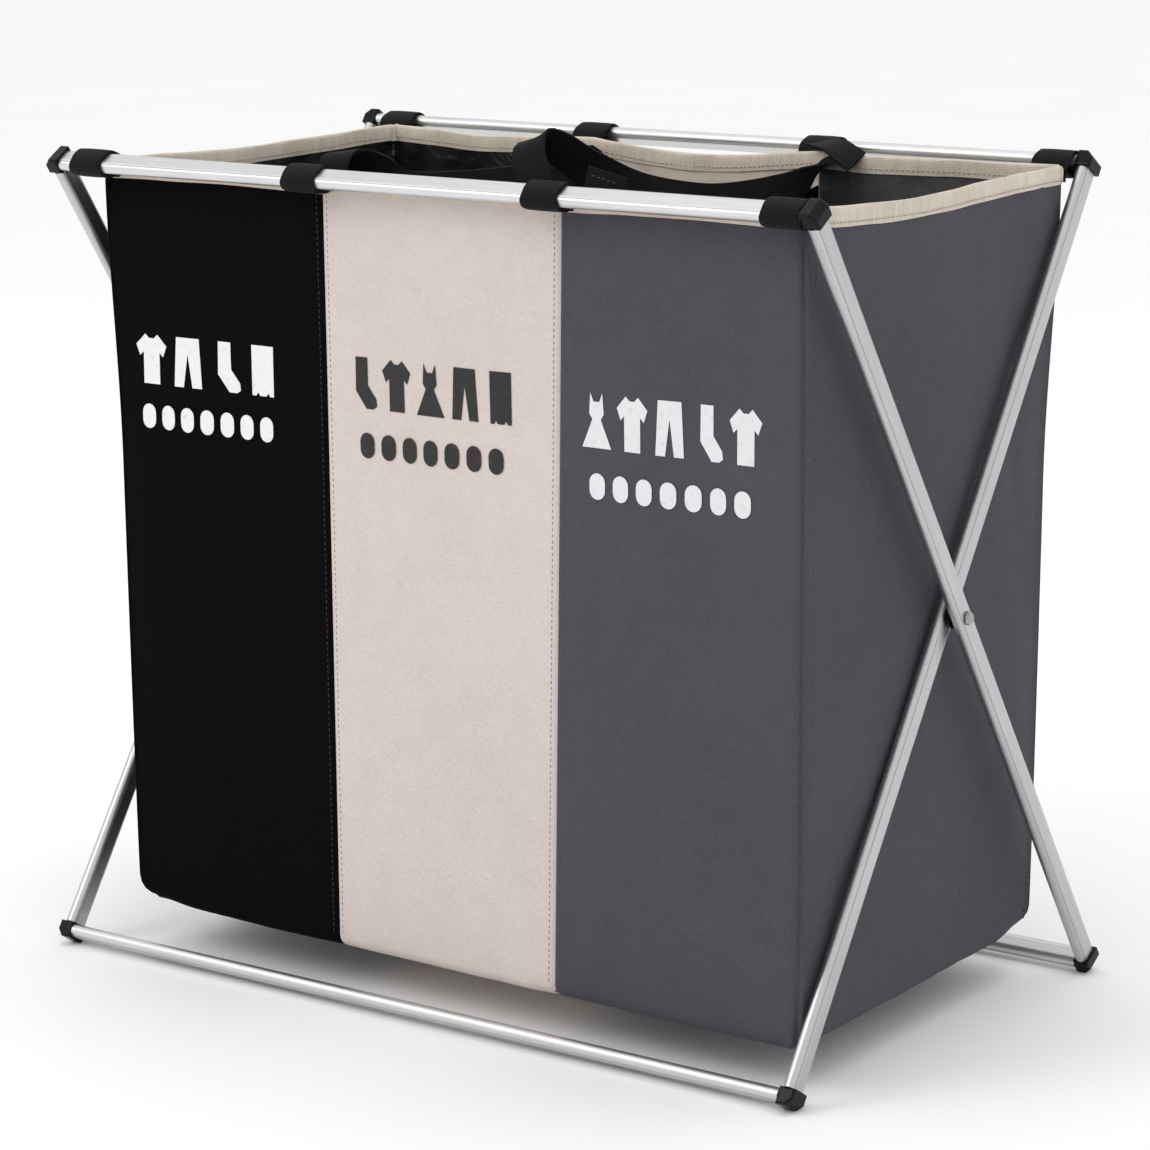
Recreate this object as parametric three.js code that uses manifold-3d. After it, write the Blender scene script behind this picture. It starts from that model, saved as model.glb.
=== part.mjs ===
// Three-compartment folding laundry sorter: a fabric bag hung between two crossed aluminium frames.
// Millimetres. X runs along the rails, Y from front to rear, Z up. The origin is on the floor, under the
// middle of the sorter.
//
// Two identical frames cross like scissors and turn on a screw at each side. Frame A carries the front
// top rail and the rear bottom rail, frame B the rear top rail and the front bottom rail. The frames sit
// side by side on the screws, so A stands half an offset to the right of the middle and B to the left.

import * as THREE from "three";
import { ConvexGeometry } from "three/addons/geometries/ConvexGeometry.js";
import { mergeVertices } from "three/addons/utils/BufferGeometryUtils.js";
import Module from "manifold-3d";

// ---- Driving dimensions ------------------------------------------------------------------------

const gap = 0.3; // between pieces that touch
const clearance = 0.25; // round a screw in its hole, on the radius

// Frames
const frameWidth = 617; // over the outer faces of one frame's two legs
const openDepth = 357; // front rail centre to rear rail centre, standing open
const legLength = 655; // top rail centre to bottom rail centre, along a leg
const tubeWide = 16; // tube section, across the frame's plane
const tubeThick = 9; // tube section, in the frame's plane
const tubeWall = 1.2;
const floorClearance = 2.2; // from the floor to the bottom rail tubes

// Corner elbows
const elbowReach = 6.4; // from the tube centre lines to the elbow's outer faces
const elbowChamfer = 4.6; // off the outer corner
const elbowWall = 0.6; // how far the elbow stands proud of the tube's wide side, each face
const elbowEdge = 1.5; // bevel round the elbow's two faces
const spigotLength = 26;
const spigotFit = 0.3; // between a spigot and the tube's bore

// Pivots
const screwRadius = 2.5;
const screwHeadRadius = 4.6;
const screwHeadHeight = 2.6;
const washerRadius = 8;
const washerThick = 3;
const nutRadius = 4.8;
const nutHeight = 4;

// Bag
const fabric = 2; // wall of a fabric panel
const legClearance = 2.9; // between the rim's corners and the inner legs
const railSetback = 19.5; // from a top rail's centre to the wall that hangs from it
const sideTaper = 7; // how much nearer the middle a side panel is at the bottom than at the rim
const wallTaper = 1; // the same for the front and rear walls
const bottomShift = 6; // how far the bottom hangs to the right of the rim
const topShares = [0.338, 0.342, 0.32]; // of a wall's width, for its panels from left to right, at the rim
const bottomShares = [0.332, 0.327, 0.341]; // and at the bottom
const seamSkew = 2.3; // how far the rim's two middle seams lie to the right at the front, and to the left at the rear
const bagBottom = 32; // height of the bag's underside above the floor
const rimRise = 0.5; // top of the rim above the rail centres
const bindingHeight = 12;
const bindingThick = 3.2;

// Hanging loops: round sleeves that turn on the rails
const loopWidth = 27;
const loopRoom = 0.5; // between the rail's widest corners and the sleeve
const loopThick = 2.2;
const loopTailTop = -5; // where the tail meets the wall, from the rail centre
const loopTailBottom = -14;
const loopMouth = { from: -0.1, to: -1.25 }; // angles of the sleeve between which the tail joins it
const loopEndGap = 1; // between an end loop and the elbow beside it
const loopOverhang = 3; // how far a left end loop reaches past the bag's corner
const frontLoopShift = 3; // of the two middle loops, to the right of their seams on the front rail

// Carrying straps, one over each divider
const strapWidth = 25;
const strapThick = 2.4;
const strapEndGap = 4; // from the strap's ends to the walls
const strapCrests = { left: 16, right: 34 }; // top of the arch near the front wall, above the rim
const strapSag = 10; // top edge at mid span, below the rim
const strapRearDrop = 4; // top edge at the rear wall, below the rim
const strapDividerGap = 3; // from a strap's lowest edge to the divider under it

const ROUND = 10; // segments in a half circle of tube
const CIRCLE = 32; // segments in a whole circle

// ---- Derived layout ----------------------------------------------------------------------------

const lean = Math.asin(openDepth / legLength); // of each frame, from the vertical
const standHeight = legLength * Math.cos(lean);
const railHeight =
  ((tubeWide - tubeThick) / 2) * Math.sin(lean) + tubeThick / 2 + floorClearance;
const pivotHeight = railHeight + standHeight / 2;
const topRailHeight = railHeight + standHeight;
const frameOffset = tubeThick + washerThick + 2 * gap; // A's middle to B's middle, along X
const legX = (frameWidth - tubeThick) / 2; // leg centre lines from the frame's middle
const elbowBack = tubeThick / 2 + 1; // from the centre lines to where the tubes end
const rimHalfDepth = openDepth / 2 - railSetback;
const bottomHalfDepth = rimHalfDepth - wallTaper;
const rimWidth = 2 * (legX - tubeThick / 2 - frameOffset - legClearance);
const bottomWidth = rimWidth - 2 * sideTaper;
const rimTop = topRailHeight + rimRise;
const panelTop = rimTop - bindingHeight - gap;
const bindingProud = (bindingThick - fabric) / 2; // of a panel, each face
const dividerTop = rimTop - strapSag - strapWidth - strapDividerGap;

// ---- Materials ---------------------------------------------------------------------------------

const material = (color, roughness, metalness = 0) =>
  new THREE.MeshStandardMaterial({ color, roughness, metalness });
const aluminium = material(0xc3c4c8, 0.36, 1);
const blackPlastic = material(0x17171a, 0.35);
const steel = material(0x8d8f93, 0.35, 1);
const blackFabric = material(0x121112, 0.85);
const creamFabric = material(0xd6ccc3, 0.9);
const greyFabric = material(0x57565b, 0.85);
const bindingTape = material(0xc9bbaa, 0.95);
const blackWebbing = material(0x1a191b, 0.8);

// ---- Solids ------------------------------------------------------------------------------------

const wasm = await Module();
wasm.setup();

// A closed geometry as a solid that can be joined and cut.
function toSolid(geometry) {
  const bare = geometry.clone();
  bare.deleteAttribute("normal");
  bare.deleteAttribute("uv");
  const merged = mergeVertices(bare, 1e-4);
  return new wasm.Manifold(
    new wasm.Mesh({
      numProp: 3,
      vertProperties: merged.attributes.position.array,
      triVerts: new Uint32Array(merged.index.array),
    }),
  );
}

function toGeometry(solid) {
  const { vertProperties, triVerts } = solid.getMesh();
  const geometry = new THREE.BufferGeometry();
  geometry.setAttribute("position", new THREE.BufferAttribute(vertProperties, 3));
  geometry.setIndex(new THREE.BufferAttribute(triVerts, 1));
  geometry.computeVertexNormals();
  return geometry;
}

function mesh(name, geometry, finish) {
  const made = new THREE.Mesh(geometry, finish);
  made.name = name;
  return made;
}

// An oval with two flat sides, drawn with its long side along Y.
function ovalPath(Kind, wide, thick) {
  const radius = thick / 2;
  const reach = wide / 2 - radius;
  const path = new Kind();
  path.moveTo(radius, -reach);
  path.lineTo(radius, reach);
  path.absarc(0, reach, radius, 0, Math.PI, false);
  path.lineTo(-radius, -reach);
  path.absarc(0, -reach, radius, Math.PI, 2 * Math.PI, false);
  return path;
}

// A shape extruded along Z, centred on the origin.
function extruded(shape, length, options = {}) {
  const bevel = options.bevelEnabled ? options.bevelThickness : 0;
  const geometry = new THREE.ExtrudeGeometry(shape, {
    depth: length - 2 * bevel,
    bevelEnabled: false,
    curveSegments: ROUND,
    ...options,
  });
  return geometry.translate(0, 0, -(length - 2 * bevel) / 2);
}

// A length of frame tube along Z, thin side along X, wide side along Y.
function tube(length) {
  const section = ovalPath(THREE.Shape, tubeWide, tubeThick);
  section.holes.push(
    ovalPath(THREE.Path, tubeWide - 2 * tubeWall, tubeThick - 2 * tubeWall),
  );
  return extruded(section, length);
}

// The plug on an elbow that fills the end of a tube, along Z and centred.
function spigot(length) {
  const taken = 2 * (tubeWall + spigotFit);
  return extruded(ovalPath(THREE.Shape, tubeWide - taken, tubeThick - taken), length);
}

// A cylinder along X, centred on the origin.
function disc(radius, thickness) {
  return new THREE.CylinderGeometry(radius, radius, thickness, CIRCLE).rotateZ(Math.PI / 2);
}

// A block with a foursided footprint at its bottom and another at its top, each [[x, y], ...].
function block(lower, bottom, upper, top) {
  return new ConvexGeometry([
    ...lower.map(([x, y]) => new THREE.Vector3(x, y, bottom)),
    ...upper.map(([x, y]) => new THREE.Vector3(x, y, top)),
  ]);
}

// ---- Frames ------------------------------------------------------------------------------------

// A corner elbow, drawn in a frame's own plane: X along the rail, Z along the leg, with the frame's
// middle towards -X and -Z.
function elbow() {
  const inner = -elbowBack + gap;
  const cut = elbowReach - elbowChamfer;
  // The extrusion runs along Z and its bevel grows the outline, so the outline is drawn that much smaller.
  const a = inner + elbowEdge;
  const b = elbowReach - elbowEdge;
  const c = cut - (Math.SQRT2 - 1) * elbowEdge;
  const outline = new THREE.Shape([
    new THREE.Vector2(a, a),
    new THREE.Vector2(b, a),
    new THREE.Vector2(b, c),
    new THREE.Vector2(c, b),
    new THREE.Vector2(a, b),
  ]);
  const body = extruded(outline, tubeWide + 2 * elbowWall, {
    bevelEnabled: true,
    bevelThickness: elbowEdge,
    bevelSize: elbowEdge,
    bevelSegments: 3,
  }).rotateX(Math.PI / 2);
  const overlap = elbowBack; // how far a spigot runs back into the body
  const alongLeg = spigot(spigotLength + overlap);
  alongLeg.translate(0, 0, inner + overlap - (spigotLength + overlap) / 2);
  const alongRail = spigot(spigotLength + overlap).rotateY(Math.PI / 2);
  alongRail.translate(inner + overlap - (spigotLength + overlap) / 2, 0, 0);
  return toSolid(body).add(toSolid(alongLeg)).add(toSolid(alongRail));
}

// One frame, built flat about its pivot and then leaned over.
// side is -1 for the frame whose top rail is at the front, and 1 for the other.
function frame(tag, side, names) {
  const group = new THREE.Group();
  group.position.set((-side * frameOffset) / 2, 0, pivotHeight);
  group.rotation.x = -side * lean;
  group.updateMatrix();
  const toFrame = group.matrix.clone().invert();
  const railZ = legLength / 2;

  const railTube = tube(2 * (legX - elbowBack)).rotateY(Math.PI / 2);
  group.add(mesh(names.topRail, railTube.clone().translate(0, 0, railZ), aluminium));
  group.add(mesh(names.bottomRail, railTube.clone().translate(0, 0, -railZ), aluminium));

  const hole = toSolid(disc(screwRadius + clearance, 2 * tubeThick));
  const leg = toGeometry(toSolid(tube(legLength - 2 * elbowBack)).subtract(hole));
  group.add(mesh(`leg_left_${tag}`, leg.clone().translate(-legX, 0, 0), aluminium));
  group.add(mesh(`leg_right_${tag}`, leg.clone().translate(legX, 0, 0), aluminium));

  const floor = toSolid(
    new THREE.BoxGeometry(2 * frameWidth, 2 * openDepth, openDepth)
      .translate(0, 0, -openDepth / 2)
      .applyMatrix4(toFrame),
  );
  const corner = elbow();
  for (const [hand, sideways] of [["left", -1], ["right", 1]]) {
    for (const [level, upright] of [["top", 1], ["bottom", -1]]) {
      const turned = corner
        .scale([sideways, 1, upright])
        .translate([sideways * legX, 0, upright * railZ]);
      const placed = level === "bottom" ? turned.subtract(floor) : turned;
      group.add(mesh(`elbow_${level}_${hand}_${tag}`, toGeometry(placed), blackPlastic));
    }
  }
  return group;
}

// The screw, spacer washer and nut of one side. They lie along X through both legs.
function pivot(hand, sideways) {
  const group = new THREE.Group();
  group.position.set(sideways * legX, 0, pivotHeight);
  group.scale.x = sideways; // drawn for the right side, outward towards +X
  const outerFace = (frameOffset + tubeThick) / 2;
  const nutEnd = outerFace + gap + nutHeight;

  const shank = disc(screwRadius, outerFace + gap + nutEnd);
  shank.translate((outerFace + gap - nutEnd) / 2, 0, 0);
  const headOutline = [
    new THREE.Vector2(0, 0),
    new THREE.Vector2(screwHeadRadius, 0),
    new THREE.Vector2(screwHeadRadius, screwHeadHeight * 0.4),
    new THREE.Vector2(screwHeadRadius * 0.72, screwHeadHeight),
    new THREE.Vector2(0, screwHeadHeight),
  ];
  const head = new THREE.LatheGeometry(headOutline, CIRCLE).rotateZ(-Math.PI / 2);
  head.translate(outerFace + gap, 0, 0);
  const screw = toSolid(shank).add(toSolid(head));
  group.add(mesh(`pivot_screw_${hand}`, toGeometry(screw), steel));

  const bore = toSolid(disc(screwRadius + clearance, 4 * washerThick));
  const washer = toSolid(disc(washerRadius, washerThick)).subtract(bore);
  group.add(mesh(`pivot_washer_${hand}`, toGeometry(washer), blackPlastic));

  const nutBody = new THREE.CylinderGeometry(nutRadius, nutRadius, nutHeight, 6);
  const nutBore = toSolid(disc(screwRadius + clearance, 4 * nutHeight));
  const nut = toSolid(nutBody.rotateZ(Math.PI / 2)).subtract(nutBore);
  const nutGeometry = toGeometry(nut).translate(-outerFace - gap - nutHeight / 2, 0, 0);
  group.add(mesh(`pivot_nut_${hand}`, nutGeometry, steel));
  return group;
}

// ---- Bag ---------------------------------------------------------------------------------------

// Seam positions of a wall from its own middle: both ends and the two joints between panels.
function seams(width, shares) {
  const places = [-width / 2];
  shares.forEach((share) => places.push(places.at(-1) + width * share));
  return places;
}

const LEFT_END = 0;
const RIGHT_END = 3;
const PANELS = [
  ["left", blackFabric],
  ["middle", creamFabric],
  ["right", greyFabric],
];
const topSeams = seams(rimWidth, topShares);
const bottomSeams = seams(bottomWidth, bottomShares).map((x) => x + bottomShift);

// How far up the bag a height is: 0 at its underside and 1 at the rim.
const up = (z) => (z - bagBottom) / (rimTop - bagBottom);
const halfDepth = (z) => THREE.MathUtils.lerp(bottomHalfDepth, rimHalfDepth, up(z));

// X of a seam at a depth y and a height z. A wall's middle follows the rail that the wall hangs from.
function seamX(index, y, z) {
  const away = -y / halfDepth(z);
  const skew = index === LEFT_END || index === RIGHT_END ? 0 : seamSkew * up(z);
  const own = THREE.MathUtils.lerp(bottomSeams[index], topSeams[index], up(z));
  return own + away * (frameOffset / 2 + skew);
}

// The footprint at a height z of a piece between two seams and two depths.
// Each end is {index, grow}: grow moves it outwards along X. The depths are functions of z.
const footprint = (from, to, y0, y1) => (z) => [
  [seamX(from.index, y0(z), z) - from.grow, y0(z)],
  [seamX(to.index, y0(z), z) + to.grow, y0(z)],
  [seamX(to.index, y1(z), z) + to.grow, y1(z)],
  [seamX(from.index, y1(z), z) - from.grow, y1(z)],
];

const pieceBetween = (from, to, y0, y1, bottom, top) => {
  const at = footprint(from, to, y0, y1);
  return block(at(bottom), bottom, at(top), top);
};

// The front (side -1) or rear (side 1) wall: three panels, the binding along its rim and four loops.
function wall(name, side) {
  const group = new THREE.Group();
  const layer = (inset) => (z) => side * (halfDepth(z) - inset);
  const between = (from, to, outer, inner, bottom, top) => {
    const [y0, y1] = side < 0 ? [layer(outer), layer(inner)] : [layer(inner), layer(outer)];
    return pieceBetween(from, to, y0, y1, bottom, top);
  };
  PANELS.forEach(([place, finish], index) => {
    const from = { index, grow: index === LEFT_END ? 0 : -gap / 2 };
    const to = { index: index + 1, grow: index + 1 === RIGHT_END ? 0 : -gap / 2 };
    const panel = between(from, to, 0, fabric, bagBottom, panelTop);
    group.add(mesh(`${name}_panel_${place}`, panel, finish));
  });
  const ends = [{ index: LEFT_END, grow: 0 }, { index: RIGHT_END, grow: 0 }];
  const binding = between(...ends, -bindingProud, fabric + bindingProud, panelTop + gap, rimTop);
  group.add(mesh(`${name}_binding`, binding, bindingTape));

  const reach = legX - elbowBack - loopWidth / 2 - loopEndGap; // of a loop's middle from the rail's
  const railMiddle = (-side * frameOffset) / 2;
  for (let index = LEFT_END; index <= RIGHT_END; index++) {
    const shift = index === LEFT_END ? loopWidth / 2 - loopOverhang : side < 0 ? frontLoopShift : 0;
    const wanted = seamX(index, side * rimHalfDepth, rimTop) + shift;
    const x = THREE.MathUtils.clamp(wanted, railMiddle - reach, railMiddle + reach);
    const loop = hangingLoop(side).translate(x, (side * openDepth) / 2, topRailHeight);
    group.add(mesh(`${name}_loop_${index + 1}`, loop, blackWebbing));
  }
  return group;
}

// A sleeve round a top rail, with a tail that reaches the rim of the wall. It is drawn about the rail's
// centre line, with +X towards the bag and +Y up.
function hangingLoop(side) {
  const inner = tubeWide / 2 + loopRoom;
  const outer = inner + loopThick;
  const wallFace = railSetback - bindingProud - gap;
  const section = new THREE.Shape();
  section.absarc(0, 0, outer, loopMouth.from, loopMouth.to + 2 * Math.PI, false);
  section.lineTo(wallFace - loopThick, loopTailBottom);
  section.lineTo(wallFace, loopTailBottom);
  section.lineTo(wallFace, loopTailTop);
  const bore = new THREE.Path();
  bore.absarc(0, 0, inner, 0, 2 * Math.PI, false);
  section.holes.push(bore);
  const towardsBag = new THREE.Vector3(0, -side, 0);
  const upwards = new THREE.Vector3(0, 0, 1);
  const along = new THREE.Vector3(-side, 0, 0);
  return extruded(section, loopWidth).applyMatrix4(
    new THREE.Matrix4().makeBasis(towardsBag, upwards, along),
  );
}

// Everything between the two walls: the side panels, dividers, bottoms, side bindings and straps.
function core() {
  const group = new THREE.Group();
  // A piece that runs from wall to wall between two ends, stopping short of each wall's inner face.
  const acrossBag = (from, to, short, bottom, top) => {
    const reach = (z) => halfDepth(z) - fabric - short;
    return pieceBetween(from, to, (z) => -reach(z), reach, bottom, top);
  };
  const onEnd = (index, outward, inward) =>
    index === LEFT_END
      ? [{ index, grow: outward }, { index, grow: inward }]
      : [{ index, grow: inward }, { index, grow: outward }];

  for (const [hand, index, finish] of [
    ["left", LEFT_END, blackFabric],
    ["right", RIGHT_END, greyFabric],
  ]) {
    const panel = acrossBag(...onEnd(index, 0, fabric), gap, bagBottom, panelTop);
    group.add(mesh(`side_panel_${hand}`, panel, finish));
    const inward = fabric + bindingProud;
    const rim = acrossBag(
      ...onEnd(index, bindingProud, inward), bindingProud + gap, panelTop + gap, rimTop,
    );
    group.add(mesh(`side_binding_${hand}`, rim, bindingTape));
  }

  const bottomTop = bagBottom + fabric;
  PANELS.forEach(([place, finish], index) => {
    const from = { index, grow: index === LEFT_END ? -fabric - gap : -gap / 2 };
    const to = { index: index + 1, grow: index + 1 === RIGHT_END ? -fabric - gap : -gap / 2 };
    const bottom = acrossBag(from, to, gap, bagBottom, bottomTop);
    group.add(mesh(`bottom_panel_${place}`, bottom, finish));
  });

  [["left", 1], ["right", 2]].forEach(([place, index]) => {
    const faces = [{ index, grow: fabric / 2 }, { index, grow: fabric / 2 }];
    const sheet = acrossBag(...faces, gap, bottomTop + gap, dividerTop);
    group.add(mesh(`divider_${place}`, sheet, blackFabric));
    group.add(carryingStrap(place, index));
  });
  return group;
}

// A strap over a divider, on edge: it arches up behind the front wall and sags towards the rear.
function carryingStrap(place, index) {
  const top = strapCrests[place];
  const half = rimHalfDepth - fabric - strapEndGap;
  const crest = new THREE.CatmullRomCurve3(
    [
      [-1, -strapRearDrop],
      [-0.95, top * 0.72],
      [-0.86, top],
      [-0.68, top * 0.62],
      [-0.3, top * 0.1],
      [0.1, -strapSag],
      [0.6, -strapSag],
      [1, -strapRearDrop],
    ].map(([along, up]) => new THREE.Vector3(along * half, up, 0)),
  );
  const edge = crest.getPoints(24);
  const outline = new THREE.Shape([
    ...edge.map((point) => new THREE.Vector2(point.x, point.y - strapWidth)),
    ...edge.reverse().map((point) => new THREE.Vector2(point.x, point.y)),
  ]);
  const band = extruded(outline, strapThick).rotateX(Math.PI / 2).rotateZ(Math.PI / 2);
  const made = mesh(`carrying_strap_${place}`, band, blackWebbing);
  made.position.set(seamX(index, 0, rimTop), 0, rimTop);
  made.rotation.z = Math.atan2(frameOffset / 2 + seamSkew, rimHalfDepth);
  return made;
}

// ---- Assembly ----------------------------------------------------------------------------------

const sorter = new THREE.Group();
sorter.name = "laundry_sorter";
sorter.add(
  frame("a", -1, { topRail: "rail_front_top", bottomRail: "rail_rear_bottom" }),
  frame("b", 1, { topRail: "rail_rear_top", bottomRail: "rail_front_bottom" }),
  pivot("left", -1),
  pivot("right", 1),
  wall("front", -1),
  wall("rear", 1),
  core(),
);

export default sorter;
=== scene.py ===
"""Blender looks for the folding laundry sorter.

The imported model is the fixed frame: its tubes, corner elbows and pivot pieces stay and get their
finishes here. The fabric bag, its rim tape, webbing loops, carrying straps, stitching and prints are
built over their plain CAD solids. All lengths are metres.
"""

import logging
import math
from collections.abc import Sequence
from dataclasses import dataclass, field
from enum import Enum

import bmesh
import bpy
import numpy as np
from mathutils import Matrix, Vector, noise


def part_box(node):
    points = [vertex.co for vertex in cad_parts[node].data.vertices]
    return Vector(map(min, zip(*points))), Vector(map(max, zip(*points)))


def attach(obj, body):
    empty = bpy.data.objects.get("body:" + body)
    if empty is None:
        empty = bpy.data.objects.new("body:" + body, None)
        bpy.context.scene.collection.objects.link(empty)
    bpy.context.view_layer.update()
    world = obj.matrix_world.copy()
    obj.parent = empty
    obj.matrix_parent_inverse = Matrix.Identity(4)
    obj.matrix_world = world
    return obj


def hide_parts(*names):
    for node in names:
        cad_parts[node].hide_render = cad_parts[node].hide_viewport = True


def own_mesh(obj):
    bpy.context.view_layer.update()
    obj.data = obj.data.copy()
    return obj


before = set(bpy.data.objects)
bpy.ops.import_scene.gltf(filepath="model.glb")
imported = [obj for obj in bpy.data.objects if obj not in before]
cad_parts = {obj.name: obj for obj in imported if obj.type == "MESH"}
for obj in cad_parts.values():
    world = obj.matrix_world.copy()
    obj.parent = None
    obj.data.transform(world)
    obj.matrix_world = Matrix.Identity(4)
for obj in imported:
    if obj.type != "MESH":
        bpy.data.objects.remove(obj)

log = logging.getLogger("laundry_sorter")

MM = 0.001
HANDS = ("left", "right")
Colour = tuple[float, float, float]


# ---- Shader building -----------------------------------------------------------------------------


class Signal:
    """A value on its way through a shader, which takes part in ordinary arithmetic."""

    def __init__(self, graph: "Graph", socket: bpy.types.NodeSocket | None) -> None:
        """Wraps a socket.

        Args:
            graph: The shader that the socket belongs to.
            socket: The output that carries the value.
        """
        self.graph = graph
        self.socket = socket

    def __add__(self, other: "Signal | float") -> "Signal":
        """This value and another, added."""
        return self.graph.math("ADD", self, other)

    def __sub__(self, other: "Signal | float") -> "Signal":
        """This value less another."""
        return self.graph.math("SUBTRACT", self, other)

    def __rsub__(self, other: "Signal | float") -> "Signal":
        """Another value less this one."""
        return self.graph.math("SUBTRACT", other, self)

    def __mul__(self, other: "Signal | float") -> "Signal":
        """This value and another, multiplied."""
        return self.graph.math("MULTIPLY", self, other)

    def __truediv__(self, other: "Signal | float") -> "Signal":
        """This value divided by another."""
        return self.graph.math("DIVIDE", self, other)

    def __rtruediv__(self, other: "Signal | float") -> "Signal":
        """Another value divided by this one."""
        return self.graph.math("DIVIDE", other, self)

    def __abs__(self) -> "Signal":
        """This value without its sign."""
        return self.graph.math("ABSOLUTE", self)

    __radd__ = __add__
    __rmul__ = __mul__

    def wave(self, period: float) -> "Signal":
        """A sine of this value.

        Args:
            period: Length of one whole wave.

        Returns:
            The sine, from -1 to 1.
        """
        return self.graph.math("SINE", self * (2 * math.pi / period))

    def zigzag(self, period: float) -> "Signal":
        """A triangle wave of this value.

        Args:
            period: Length of one whole zigzag.

        Returns:
            The wave, from 0 to 1.
        """
        return self.graph.math("PINGPONG", self / (period / 2), 1.0)

    def ramp(self, low: float, high: float) -> "Signal":
        """A smooth step.

        Args:
            low: Value where the step starts, at 0.
            high: Value where it ends, at 1.

        Returns:
            The step, from 0 to 1.
        """
        return self.graph.node(
            "ShaderNodeMapRange",
            {"interpolation_type": "SMOOTHSTEP"},
            {"Value": self, "From Min": low, "From Max": high},
        )


class Graph:
    """The node tree of one material."""

    def __init__(self, name: str) -> None:
        """Starts an empty material.

        Args:
            name: Name of the material.
        """
        self.material = bpy.data.materials.new(name)
        self.material.use_nodes = True
        self.tree = self.material.node_tree
        self.tree.nodes.clear()

    def node(
        self,
        kind: str,
        settings: dict | None = None,
        inputs: dict | None = None,
        output: int | str = 0,
    ) -> Signal:
        """Adds any node.

        Args:
            kind: Blender's name for the node type.
            settings: Properties of the node, set before its sockets.
            inputs: Socket names or places, with a number, a colour or a Signal for each.
            output: Name or place of the output to return.

        Returns:
            The chosen output.
        """
        made = self.tree.nodes.new(kind)
        for key, value in (settings or {}).items():
            setattr(made, key, value)
        for key, value in (inputs or {}).items():
            if isinstance(value, Signal):
                self.tree.links.new(value.socket, made.inputs[key])
            else:
                made.inputs[key].default_value = value
        return Signal(self, made.outputs[output] if made.outputs else None)

    def math(self, operation: str, *values: Signal | float) -> Signal:
        """Adds one Math node.

        Args:
            operation: Blender's name for the operation.
            values: Its operands.

        Returns:
            The result.
        """
        return self.node("ShaderNodeMath", {"operation": operation}, dict(enumerate(values)))

    def mix(self, factor: Signal | float, low: Signal | Colour, high: Signal | Colour) -> Signal:
        """Blends two colours.

        Args:
            factor: Share of the second colour.
            low: The colour at 0.
            high: The colour at 1.

        Returns:
            The blended colour.
        """
        first = low if isinstance(low, Signal) else (*low, 1.0)
        second = high if isinstance(high, Signal) else (*high, 1.0)
        settings = {"data_type": "RGBA", "clamp_factor": True}
        return self.node("ShaderNodeMix", settings, {0: factor, 6: first, 7: second}, 2)

    def coordinates(self, kind: str) -> tuple[Signal, Signal, Signal]:
        """Splits a texture coordinate.

        Args:
            kind: "UV" or "Object".

        Returns:
            Its three parts.
        """
        place = self.node("ShaderNodeTexCoord", output=kind)
        return tuple(
            self.node("ShaderNodeSeparateXYZ", inputs={"Vector": place}, output=axis)
            for axis in "XYZ"
        )

    def vector(self, x: Signal | float, y: Signal | float, z: Signal | float = 0.0) -> Signal:
        """Joins three values into a vector.

        Args:
            x: First part.
            y: Second part.
            z: Third part.

        Returns:
            The vector.
        """
        return self.node("ShaderNodeCombineXYZ", inputs={"X": x, "Y": y, "Z": z})

    def noise(self, place: Signal, scale: float, detail: float = 2.0, twist: float = 0.0) -> Signal:
        """Adds a noise texture.

        Args:
            place: Where it is read.
            scale: How many cells fit in a metre.
            detail: How many finer layers it has.
            twist: How much it is distorted.

        Returns:
            The noise, from 0 to 1.
        """
        inputs = {"Vector": place, "Scale": scale, "Detail": detail, "Distortion": twist}
        return self.node("ShaderNodeTexNoise", inputs=inputs)

    def bump(self, height: Signal, distance: float, strength: float = 1.0) -> Signal:
        """Turns a height into a normal.

        Args:
            height: The height, about 0 to 1.
            distance: How many metres a height of 1 stands for.
            strength: How much of the relief shows.

        Returns:
            The normal.
        """
        inputs = {"Height": height, "Distance": distance, "Strength": strength}
        return self.node("ShaderNodeBump", inputs=inputs)

    def surface(self, constants: dict, links: dict) -> bpy.types.Material:
        """Ends the material in one Principled surface.

        Args:
            constants: Values set on the surface's own sockets.
            links: Signals that feed it.

        Returns:
            The finished material.
        """
        shader = self.node("ShaderNodeBsdfPrincipled", inputs={**constants, **links})
        self.node("ShaderNodeOutputMaterial", inputs={"Surface": shader})
        return self.material


# ---- Finishes ------------------------------------------------------------------------------------


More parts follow.
